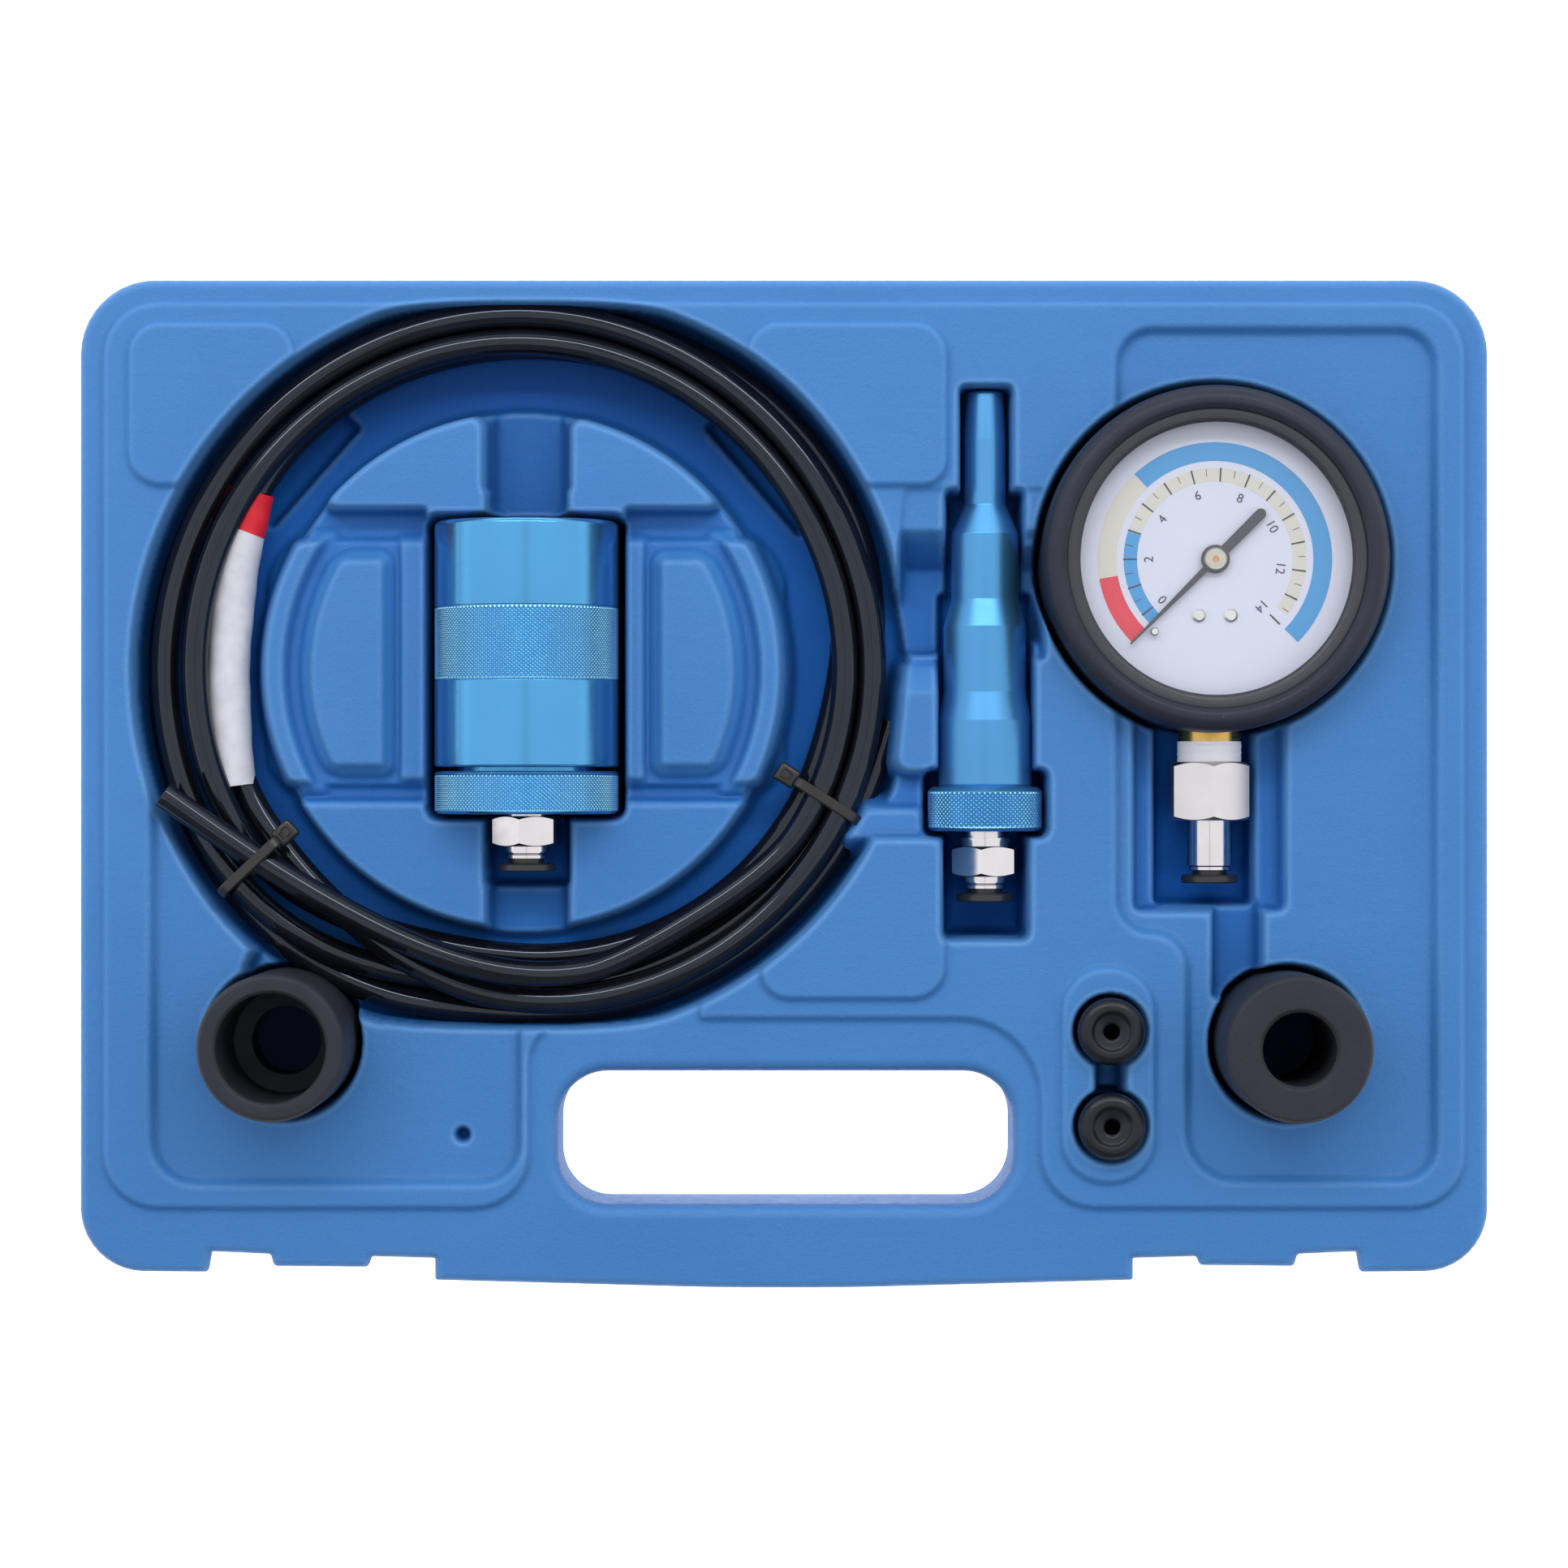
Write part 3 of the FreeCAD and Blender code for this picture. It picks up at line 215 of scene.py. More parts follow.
# Painted shade: the deep colour darkens further towards +Y, where the walls shade the recesses.
_north_shade = _c.ramp(_c.math("MULTIPLY", _c.axes()["Y"], 8.0), [(0.45, 0.0), (0.72, 0.6)])
_base = _c.mix(_pit_shade, _c.mix(_depth_shade, _flat, _c.mix(_north_shade, _deep_shade, lin(12, 36, 92))), lin(30, 42, 78))
_c.color(_c.times(_c.times(_c.mix(_crest_highlight, _base, lin(132, 180, 228)), _foot_shade), _speck))
_c.rough(_c.ramp(_c.noise(450, 2), [(0.3, 0.42), (0.7, 0.54)]))
_c.link("Specular IOR Level", _c.ramp(_high, [(0.3, 0.05), (0.6, 0.16), (0.72, 0.3)]))
_flow = _c.noise(260, 4, 0.65, (0.16, 1, 1))
_c.bump((_c.noise(3000, 2, 0.7), 0.8, 0.00012), (_c.noise(900, 3, 0.65), 0.6, 0.00018), (_flow, 0.3, 0.0003))


def anodised(name, base, turned=True, rough=0.2, metal=0.88):
    """Dyed anodised aluminium, turned and polished."""
    m = Mat(name).put(metal=metal, spec=0.5)
    cloudy = m.noise(60, 3)
    m.color(m.ramp(cloudy, [(0.3, scaled(base, 0.97)), (0.7, scaled(base, 1.03))]))
    m.rough(m.ramp(m.noise(300, 3, 0.6, (1, 6, 1)), [(0.3, rough), (0.7, rough + 0.06)]))
    m.bump((m.noise(60, 2, 0.6, (0.4, 40, 0.4)), 0.12, 0.000006) if turned else (m.noise(2500, 3), 0.3, 0.00001))
    return m


blue_metal = anodised("anodised_blue", lin(78, 149, 199))
blue_knurl = anodised("anodised_blue_knurl", lin(98, 176, 224), False)
# Painted light on the knurl: crests are a paler blue than the smooth metal (painted highlight), grooves a dark blue
# (painted shade), by groove depth.
blue_knurl.color(blue_knurl.mix(blue_knurl.attribute("groove"), blue_knurl.ramp(
    blue_knurl.noise(300, 3), [(0.3, lin(164, 232, 255)), (0.7, lin(172, 238, 255))]), lin(26, 110, 184)))
blue_nozzle = anodised("anodised_blue_nozzle", lin(78, 143, 194), True, 0.33, 0.85)


def metal(name, col, rough=0.22, scale=800, vary=0.06, wear=0.00002):
    m = Mat(name).put(metal=1.0)
    m.color(m.ramp(m.noise(150, 4), [(0.3, scaled(col, 1 - vary)), (0.7, scaled(col, 1 + vary))]))
    m.rough(m.ramp(m.noise(scale, 3), [(0.3, rough - 0.02), (0.7, rough + 0.03)]))
    m.bump((m.noise(scale * 2, 3), 0.3, wear))
    return m


nickel = metal("nickel", lin(204, 200, 202), 0.3, 900, 0.03, 0.000002)
chrome = metal("chrome_plate", lin(206, 202, 204), 0.16, 500, 0.04, 0.000002)
screw_steel = metal("screw_steel", lin(205, 205, 208), 0.22)
brass = metal("brass", lin(200, 164, 96), 0.28)
bronze = metal("phosphor_bronze", lin(190, 140, 100), 0.3)
spring_steel = metal("spring_steel", lin(150, 150, 155), 0.3)
case_steel = metal("case_steel", lin(60, 60, 64), 0.4)


def rubber(name, col, dust, rough=0.62, speck=2600.0, amount=0.66):
    """Black rubber with a greyish bloom and specks of dust."""
    m = Mat(name).put(spec=0.3, spec_tint=(0.8, 0.88, 1.0, 1.0))
    bloom = m.ramp(m.noise(70, 5, 0.65), [(0.3, col), (0.75, scaled(col, 1.25))])
    specks = m.ramp(m.noise(speck, 2, 0.5), [(amount, 0.0), (amount + 0.05, 1.0)])
    m.color(m.mix(specks, bloom, dust))
    m.rough(m.ramp(m.noise(120, 4), [(0.3, rough - 0.08), (0.7, rough + 0.08)]))
    m.bump((m.noise(1800, 4, 0.6), 0.5, 0.00005), (m.noise(90, 2), 0.3, 0.0002))
    return m


boot_rubber = rubber("boot_rubber", lin(33, 35, 45), lin(88, 90, 98), 0.46, 2600, 0.72)
sleeve_rubber = rubber("sleeve_rubber", lin(36, 37, 43), lin(90, 91, 96), 0.6, 2600, 0.72)
plug_rubber = rubber("plug_rubber", lin(22, 22, 27), lin(70, 70, 76), 0.32, 2600, 0.74)
seal_rubber = rubber("seal_rubber", lin(40, 40, 42), lin(90, 90, 90), 0.5)
bezel_black = plastic("bezel_black", lin(38, 40, 49), 0.4, 1500, 0.00002, 0.08)
collet_black = plastic("collet_black", lin(30, 30, 32), 0.33, 2000, 0.00002, 0.1)
pointer_black = plastic("pointer_black", lin(40, 42, 52), 0.5, 2500, 0.00001, 0.05)
dial_white = plastic("dial_white", lin(188, 192, 210), 0.5, 3000, 0.000005, 0.012)
dial_blue = plastic("dial_blue", lin(42, 134, 194), 0.5, 3000, 0.000005, 0.02)
dial_cream = plastic("dial_cream", lin(190, 188, 180), 0.5, 3000, 0.000005, 0.02)
dial_red = plastic("dial_red", lin(204, 30, 56), 0.5, 3000, 0.000005, 0.02)
dial_ink = plastic("dial_ink", lin(34, 34, 42), 0.5, 3000, 0.000005, 0.05)
tape_white = plastic("ptfe_white", lin(232, 233, 241), 0.5, 1500, 0.00003, 0.02, 120)
hub_metal = metal("hub_metal", lin(182, 178, 168), 0.34, 1200, 0.05, 0.000006)
tie_nylon = plastic("tie_nylon", lin(20, 20, 22), 0.32, 1500, 0.00004, 0.1)

hose_black = Mat("hose_black").put(spec=0.46, spec_tint=(0.72, 0.84, 1.0, 1.0))
hose_black.color(hose_black.ramp(hose_black.noise(90, 4), [(0.3, lin(12, 13, 18)), (0.7, lin(18, 19, 26))]))
hose_black.rough(hose_black.ramp(hose_black.noise(500, 3), [(0.3, 0.05), (0.7, 0.09)]))
hose_black.bump((hose_black.noise(900, 2), 0.12, 0.00001), (hose_black.noise(60, 2), 0.2, 0.0001))

lens = Mat("lens_clear").put(alpha=0.03, spec=0.5)
lens.color(lens.ramp(lens.noise(200, 2), [(0.3, lin(238, 240, 246)), (0.7, lin(248, 250, 255))]))
lens.rough(lens.ramp(lens.noise(900, 2), [(0.3, 0.02), (0.7, 0.06)]))

floor_mat = plastic("floor_pale", lin(250, 250, 251), 0.7, 200, 0.00002, 0.01, 4, 0.2)


floor_mat.b.inputs["Emission Color"].default_value = (1.0, 1.0, 1.0, 1.0)
floor_mat.b.inputs["Emission Strength"].default_value = 0.9
# Painted light: the dial and the sealing tape glow a little, lifting them out of the shade of the bezel and the
# pocket.
for _m, _glow_color in ((dial_white, (0.66, 0.69, 0.84, 1.0)), (tape_white, (0.85, 0.87, 1.0, 1.0))):
    _m.b.inputs["Emission Color"].default_value = _glow_color
    _m.b.inputs["Emission Strength"].default_value = 0.03 if _m is dial_white else 0.1


# -------------------------------------------------------------------- meshes
def make(name, verts_mm, faces, mats, body, idx=None, sharp=35.0, replaces=(), smooth=True):
    me = bpy.data.meshes.new(name)
    v = np.asarray(verts_mm, float) / 1000.0
    me.from_pydata(v.tolist(), [], faces.tolist() if isinstance(faces, np.ndarray) else faces)
    for m in mats:
        me.materials.append(m.m)
    if idx is not None:
        me.polygons.foreach_set("material_index", np.asarray(idx, np.int32))
    if smooth:
        me.polygons.foreach_set("use_smooth", np.ones(len(me.polygons), bool))
        if sharp:
            me.set_sharp_from_angle(angle=math.radians(sharp))
    me.update()
    ob = bpy.data.objects.new(name, me)
    bpy.context.collection.objects.link(ob)
    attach(ob, body)
    if replaces:
        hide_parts(*replaces)
    return ob


def soften(prof, default=0.0, n=4):
    """Profile (along, radius[, corner radius]) with its corners rounded."""
    out = []
    for i, p in enumerate(prof):
        rad = p[2] if len(p) > 2 else default
        if i in (0, len(prof) - 1) or rad <= 0:
            out.append((p[0], p[1]))
            continue
        q = np.array(p[:2], float)
        a, b = np.array(prof[i - 1][:2], float) - q, np.array(prof[i + 1][:2], float) - q
        la, lb = np.linalg.norm(a), np.linalg.norm(b)
        t = min(rad, 0.45 * la, 0.45 * lb)
        p0, p1 = q + a / la * t, q + b / lb * t
        for k in range(n + 1):
            s = k / n
            x = (1 - s) ** 2 * p0 + 2 * s * (1 - s) * q + s * s * p1
            out.append((x[0], x[1]))
    return out


def dense(prof, u0, u1, du):
    """More points on the runs of a profile that lie between u0 and u1."""
    out = [prof[0]]
    for a, b in zip(prof, prof[1:]):
        if min(a[0], b[0]) >= u0 - 1e-6 and max(a[0], b[0]) <= u1 + 1e-6:
            n = max(1, int(math.hypot(b[0] - a[0], b[1] - a[1]) / du))
            for k in range(1, n):
                out.append((a[0] + (b[0] - a[0]) * k / n, a[1] + (b[1] - a[1]) * k / n))
        out.append(b)
    return out


def lathe(name, prof, base, axis, mats, body, seg=128, fn=None, idx=None, sharp=32.0, replaces=(), closed=False):
    prof = np.array(prof, float)
    n = len(prof)
    th = np.arange(seg) * 2 * math.pi / seg
    u = np.repeat(prof[:, 0][:, None], seg, 1)
    r = np.repeat(prof[:, 1][:, None], seg, 1)
    t = np.repeat(th[None, :], n, 0)
    if fn is not None:
        r = fn(u, t, r)
    c, s = r * np.cos(t), r * np.sin(t)
    if axis == "up":
        v = np.stack([base[0] + c, base[1] + s, base[2] + u], -1)
    else:
        v = np.stack([base[0] + c, base[1] - u, base[2] + s], -1)
    v = v.reshape(-1, 3)
    faces, mi = [], []
    rows = n if closed else n - 1
    for i in range(rows):
        j = (i + 1) % n
        k = 0 if idx is None else idx((prof[i, 0] + prof[j, 0]) / 2, (prof[i, 1] + prof[j, 1]) / 2)
        a0 = prof[i, 1] < 1e-6
        b0 = prof[j, 1] < 1e-6
        if a0 and b0:
            continue
        for q in range(seg):
            w = (q + 1) % seg
            a, b, c2, d = i * seg + q, i * seg + w, j * seg + w, j * seg + q
            if a0:
                faces.append((i * seg, c2, d))
            elif b0:
                faces.append((a, b, j * seg))
            else:
                faces.append((a, b, c2, d))
            mi.append(k)
    if axis != "up":
        pass
    # drop the repeated points of a pole
    used = sorted({x for f in faces for x in f})
    at = {x: k for k, x in enumerate(used)}
    faces = [tuple(at[x] for x in f) for f in faces]
    ob = make(name, v[used], faces, mats, body, mi, sharp, replaces)
    return ob


def recalc(ob):
    import bmesh
    bm = bmesh.new()
    bm.from_mesh(ob.data)
    bmesh.ops.recalc_face_normals(bm, faces=bm.faces)
    bm.to_mesh(ob.data)
    bm.free()
    return ob


# ------------------------------------------------------------------ the hose
COIL_C = np.array((-58.8, 25.5))
KNOTS = [
    (-8, 83), (-30, 81.8), (-50, 80.3), (-65, 79), (-80, 77.8), (-95, 76.6), (-105, 78), (-113, 79.8),
    (-121, 81.2), (-130, 82), (-140, 82.4), (-150, 82.5), (-180, 82.5),
    (-225, 81.6), (-270, 80.2), (-290, 81), (-315, 82.7), (-335, 82.3), (-340, 81.8), (-355, 79), (-368, 76.6),
    (-390, 75.5), (-410, 74), (-425, 72.8), (-440, 71.5), (-455, 70.3), (-465, 71.6), (-473, 73.6, 19.6),
    (-481, 75.6, 21.6), (-490, 78.4, 24), (-500, 80, 24.9), (-510, 80.7, 24.9), (-540, 80.7, 24.95),
    (-585, 80.8, 24.95), (-630, 80.3, 24.95), (-675, 78.9, 24.9), (-720, 78.9, 24.9), (-750, 78.3, 24.9),
    (-770, 77.4, 24.9), (-785, 76.4, 24.9), (-800, 75.2, 24.9), (-815, 73.6, 24.9), (-825, 71.9, 25.1),
    (-833, 69.8, 25.2), (-841, 68.4, 24.9), (-850, 67.3, 24.4), (-860, 66.8, 23.6), (-870, 67.6, 22.6),
    (-878, 68.3, 21.8),
    (-900, 67.3, 21.8), (-933, 72.8, 21.5), (-950, 73.6, 19.5), (-970, 73.5), (-990, 73.5), (-1010, 74.3),
    (-1035, 76), (-1060, 75.2), (-1075, 72.6), (-1088, 70.1), (-1110, 69.1), (-1130, 67.6), (-1145, 66.4),
    (-1160, 65.2), (-1175, 64), (-1185, 64.6), (-1193, 65.4), (-1201, 67), (-1210, 70, 18.9), (-1220, 73.2, 20.6),
    (-1230, 74.3, 24), (-1234, 74.2, 26.2), (-1238, 73.6, 27.8),
    (-1250, 73.5, 28), (-1260, 73.5, 28), (-1290, 74.3, 27.5), (-1305, 74.4, 26), (-1325, 74.3, 25.1),
    (-1350, 74.2, 24.95), (-1395, 72.7, 24.9), (-1440, 72.7, 24.9), (-1470, 72, 24.9), (-1490, 71, 24.9),
]
ROUTE_FREE = [
    (-37.0, -40.6, 25.0), (-52.0, -43.2, 28.4), (-68.0, -41.4, 30.9), (-84.5, -35.6, 31.4),
    (-100.5, -27.4, 31.2), (-115.5, -18.4, 31.3), (-128.0, -10.0, 32.3), (-138.6, -2.4, 33.9),
]


def strand(theta):
    """Point of the coil at that angle, in mm."""
    kt = [-k[0] for k in KNOTS]
    r = np.interp(-theta, kt, [k[1] for k in KNOTS]) * 1.0086
    z = np.interp(-theta, kt, [k[2] if len(k) > 2 else 18.8 for k in KNOTS])
    a = math.radians(theta)
    return (COIL_C[0] + r * math.cos(a), COIL_C[1] + r * math.sin(a), z)


hose_points = [strand(t) for t in range(-8, -1491, -15)] + ROUTE_FREE
crv = bpy.data.curves.new("pressure_hose", "CURVE")
crv.dimensions = "3D"
sp = crv.splines.new("NURBS")
sp.points.add(len(hose_points) - 1)
for p, q in zip(sp.points, hose_points):
    p.co = (q[0] / 1000, q[1] / 1000, q[2] / 1000, 1)
sp.order_u = 3
sp.use_endpoint_u = True
sp.resolution_u = 8
crv.resolution_u = 8
crv.render_resolution_u = 8
crv.bevel_depth = 0.003
crv.bevel_resolution = 6
crv.use_fill_caps = True
crv.materials.append(hose_black.m)
hose = bpy.data.objects.new("pressure_hose", crv)
bpy.context.collection.objects.link(hose)
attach(hose, "hose")
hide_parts("hose_coil", "hose_free_end")


def ring_end(name, at, toward):
    """Cut end of the hose: wall ring, then a dark disc a little way in that stands for the shaded hollow of the bore
    (painted shade).
    """
    at, toward = Vector(at), Vector(toward)
    d = (at - toward).normalized()
    prof = soften([(-1.2, 3.02), (0.25, 3.02, 0.2), (0.25, 2.0, 0.15), (-0.5, 1.95), (-0.5, 0.0)])
    seg = 40
    side = d.orthogonal().normalized()
    up = d.cross(side)
    v, f, mi = [], [], []
    for u, r in prof:
        for k in range(seg):
            t = 2 * math.pi * k / seg
            v.append(tuple(at + d * u + side * (r * math.cos(t)) + up * (r * math.sin(t))))
    for i in range(len(prof) - 1):
        for k in range(seg):
            w = (k + 1) % seg
            f.append((i * seg + k, i * seg + w, (i + 1) * seg + w, (i + 1) * seg + k))
            mi.append(0 if prof[i][1] > 1.99 or prof[i + 1][1] > 1.99 else 1)
    return make(name, v, f, [hose_black, collet_black], "hose", mi)


hose_end_a = ring_end("hose_end_free", hose_points[-1], hose_points[-2])
hose_end_b = ring_end("hose_end_coil", hose_points[0], hose_points[1])
deps = bpy.context.evaluated_depsgraph_get()
probe = crv.copy()
probe.bevel_depth = 0
probe_ob = bpy.data.objects.new("probe", probe)
line = bpy.data.meshes.new_from_object(probe_ob)
bpy.data.meshes.remove(line)
bpy.data.objects.remove(probe_ob)
bpy.data.curves.remove(probe)
tuple(c / 1000 for c in hose_points[0])

# ------------------------------------------------------------------ the tray
FLANGE = [
    (-157.9, 113.1, 16.7), (157.9, 113.1, 16.7), (157.9, -109.3, 17.8),
    (129.4, -109.5, 0.7), (128.6, -104.9, 0.7), (115.2, -105.5, 0.9),
    (114.5, -108.2, 1.0), (93.4, -108.0, 1.0), (92.6, -106.0, 0.9),
    (78.3, -106.4, 0.4), (78.3, -111.3, 0.6), (0.0, -113.42, 900.0),
    (-78.3, -111.3, 0.6), (-78.3, -106.4, 0.4), (-92.6, -106.0, 0.9),
    (-93.4, -108.4, 1.0), (-114.5, -108.2, 1.0), (-115.2, -105.5, 0.9),
    (-128.6, -104.9, 0.7), (-129.4, -109.5, 0.7), (-157.9, -109.3, 17.8),
]
LOWER = [(-154.9, 110.1, 14), (154.9, 110.1, 14), (154.9, -103, 14), (75, -103, 3), (75, -108.5, 4),
         (-75, -108.5, 4), (-75, -103, 3), (-154.9, -103, 14)]
PANEL = [
    (-152.4, 108.0, 12.2), (152.4, 108.0, 12.2), (152.4, -94.9, 12.2),
    (57.5, -94.9, 12.2), (57.5, -52.5, 18.2), (-18.8, -52.5, 0.4),
    (-18.8, -38.9, 0.4), (-37.5, -38.9, 0.4), (-37.5, -52.9, 0.4),
    (-57.2, -52.9, 17.3), (-57.2, -94.9, 12.2), (-152.4, -94.9, 12.2),
]
PADS = [
    [(-146.6, 103.3, 7.3), (-109.4, 103.3, 7.3), (-109.4, 66.9, 7.3), (-146.6, 66.9, 7.3)],
    [(-8.4, 103.3, 7.3), (36.5, 103.3, 7.3), (36.5, 66.9, 5.5), (-8.4, 66.9, 5.5)],
    [(8.4, -12.0, 2.5), (36.1, -12.0, 3.3), (36.1, -48.0, 7.3), (-5.2, -48.0, 8.2), (-5.2, -35.3, 1.8)],
    [(62.1, -41.1, 9.8), (82.9, -41.1, 9.8), (82.9, -89.1, 9.8), (62.1, -89.1, 9.8)],
]
LEFT_FIELD = [(-141.6, 6.5, 0.9), (-141.6, -89.5, 10.0), (-59.0, -89.5, 9.1), (-59.0, -35.3, 0.4),
              (-121.2, 12.0, 0.4)]
RIGHT_FIELD = [(74.5, 102.0, 8.2), (146.1, 102.0, 8.2), (146.1, -88.9, 8.2), (90.1, -88.9, 10.9),
               (90.1, -33.5, 7.6), (74.5, -33.5, 8.2)]
HANDLE = [(-50.8, -64.4, 11.3), (51.5, -64.4, 11.3), (51.5, -94.4, 11.3), (-50.8, -94.4, 11.3)]


def rect(x0, x1, y0, y1, r=0.0):
    return [(x0, y0, r), (x1, y0, r), (x1, y1, r), (x0, y1, r)]


def outline(pts, n=7):
    """Closed polyline of a polygon (x, y, corner radius)."""
    out = []
    m = len(pts)
    for i, q in enumerate(pts):
        rad = q[2] if len(q) > 2 else 0.0
        p = np.array(q[:2], float)
        a, b = np.array(pts[i - 1][:2], float) - p, np.array(pts[(i + 1) % m][:2], float) - p
        la, lb = np.linalg.norm(a), np.linalg.norm(b)
        a, b = a / la, b / lb
        if rad < 0.05:
            out.append(p)
            continue
        half = math.acos(max(-1, min(1, float(a @ b)))) / 2
        t = min(rad / math.tan(half), 0.499 * la, 0.499 * lb)
        rad = t * math.tan(half)
        bis = a + b
        c = p + bis / np.linalg.norm(bis) * (rad / math.sin(half))
        v0, v1 = p + a * t - c, p + b * t - c
        a0, a1 = math.atan2(v0[1], v0[0]), math.atan2(v1[1], v1[0])
        da = (a1 - a0 + math.pi) % (2 * math.pi) - math.pi
        for k in range(n + 1):
            ang = a0 + da * k / n
            out.append(c + rad * np.array((math.cos(ang), math.sin(ang))))
    return np.array(out)


STEP = 0.42
xs = np.arange(-158.34, 158.6, STEP)
ys = np.arange(-113.82, 113.7, STEP)
X, Y = np.meshgrid(xs, ys)
Z = np.full(X.shape, 30.5)


def poly_distance(poly, x, y):
    d2 = np.full(x.shape, 1e9)
    inside = np.zeros(x.shape, bool)
    for a, b in zip(poly, np.roll(poly, -1, 0)):
        e = b - a
        ee = float(e @ e)
        if ee < 1e-12:
            continue
        wx, wy = x - a[0], y - a[1]
        t = np.clip((wx * e[0] + wy * e[1]) / ee, 0, 1)
        d2 = np.minimum(d2, (wx - e[0] * t) ** 2 + (wy - e[1] * t) ** 2)
        if abs(e[1]) > 1e-9:
            inside ^= ((a[1] > y) != (b[1] > y)) & (x < e[0] * (y - a[1]) / e[1] + a[0])
    return np.where(inside, -1.0, 1.0) * np.sqrt(d2)


def window(x0, x1, y0, y1):
    i0, i1 = np.searchsorted(xs, (x0, x1))
    j0, j1 = np.searchsorted(ys, (y0, y1))
    return (slice(max(j0, 0), j1), slice(max(i0, 0), i1))


def field(shape, margin):
    if isinstance(shape, tuple):
        fn, (x0, x1, y0, y1) = shape
        w = window(x0 - margin, x1 + margin, y0 - margin, y1 + margin)
        return w, fn(X[w], Y[w])
    poly = outline(shape)
    w = window(poly[:, 0].min() - margin, poly[:, 0].max() + margin,
               poly[:, 1].min() - margin, poly[:, 1].max() + margin)
    return w, poly_distance(poly, X[w], Y[w])


def meet(rho, *ds):
    """Common part of several shapes with its corners rounded by rho."""
    m = ds[0] + rho
    s = np.zeros_like(ds[0])
    for d in ds:
        m = np.maximum(m, d + rho)
        s = s + np.maximum(d + rho, 0) ** 2
    return np.minimum(m, 0) + np.sqrt(s) - rho


def step(high, low, s, R, r, draft, share=0.0, wide=1.0):
    """Height across an edge: s runs from the high side to the low one."""
    H = np.maximum(high - low, 1e-6)
    R = np.minimum(R, 0.45 * H)
    r = np.minimum(r, 0.45 * H)
    L = H - R - r
    W = np.maximum(L * math.tan(math.radians(draft)), 1e-3)
    u = s / wide + share * W
    z = np.where(u < W + r, low + r - np.sqrt(np.maximum(r * r - (r - (u - W)) ** 2, 0)), low)
    z = np.where(u < W, high - R - L * u / W, z)
    z = np.where(u < 0, high - R + np.sqrt(np.maximum(R * R - (u + R) ** 2, 0)), z)
    return np.where(u <= -R, high, z)


def level(v, w):
    return v(X[w], Y[w]) if callable(v) else v


def cut(shape, floor, R=1.0, r=1.0, draft=4.0, share=0.0, wide=1.0, margin=9.0):
    w, d = field(shape, margin)
    z = Z[w]
    low = np.minimum(level(floor, w), z)
    Z[w] = np.minimum(z, step(z, low, -d, R, r, draft, share, wide))


def lift(shape, top, R=1.0, r=1.0, draft=10.0, share=0.0, wide=1.0, margin=9.0):
    w, d = field(shape, margin)
    z = Z[w]
    high = np.maximum(level(top, w), z)
    Z[w] = np.maximum(z, step(high, z, d, R, r, draft, share, wide))


def coil_shape(rho, *more, r=86.0, sign=1):
    def fn(x, y):
        d = np.hypot(x - COIL_C[0], y - COIL_C[1]) - r
        return meet(rho, sign * d, *[g(x, y) for g in more])
    return fn


flange_line, handle_line, lower_line = outline(FLANGE, 10), outline(HANDLE, 14), outline(LOWER, 12)
D_FLANGE = poly_distance(flange_line, X, Y)
D_HANDLE = -poly_distance(handle_line, X, Y)
D_ALL = np.maximum(D_FLANGE, D_HANDLE)

lift(PANEL, 32.0, 0.7, 0.7, 30, wide=1.2)
for pad in PADS[:3]:
    lift(pad, 33.5, 0.75, 0.75, 38, share=0.0)
for shape in (LEFT_FIELD, RIGHT_FIELD):
    cut(shape, 29.5, 1.0, 1.0, 35, wide=1.3)
lift(PADS[3], 33.5, 1.2, 1.2, 38)

# hose channel and its deep ends
box_c = (COIL_C[0] - 86, COIL_C[0] + 86, -54.5, 107.5)
_ang = np.arange(0, 360, 3)
_env = np.zeros(len(_ang))
for _turn in range(1, 6):
    _th = _ang - 360.0 * _turn
    _r = np.interp(-_th, [-k[0] for k in KNOTS], [k[1] for k in KNOTS]) * 1.0086 + 3.75
    _env = np.maximum(_env, np.where((_th <= 0) & (_th >= -1490), _r, 0))
_env = np.max([np.roll(_env, k) for k in range(-2, 3)], axis=0)
_env = np.mean([np.roll(_env, k) for k in range(-2, 3)], axis=0)


def channel(x, y):
    a = np.degrees(np.arctan2(y - COIL_C[1], x - COIL_C[0]))
    r = np.interp(a, _ang, _env, period=360)
    return meet(3.0, np.hypot(x - COIL_C[0], y - COIL_C[1]) - r, y - 107.5, -54.5 - y)


cut((channel, box_c), 14.0, 1.0, 3.0, 2.0, share=0.3)
cut([(-96.6, 81.1, 1), (-116.6, 58.4, 1), (-127.5, 68.4, 1), (-107.5, 91.1, 1)], 10.0, 1.5, 2.0, 6.0)
cut([(-17.9, 81.1, 1), (-7.0, 91.1, 1), (14.3, 66.5, 1), (3.4, 56.5, 1)], 10.0, 1.5, 2.0, 6.0)
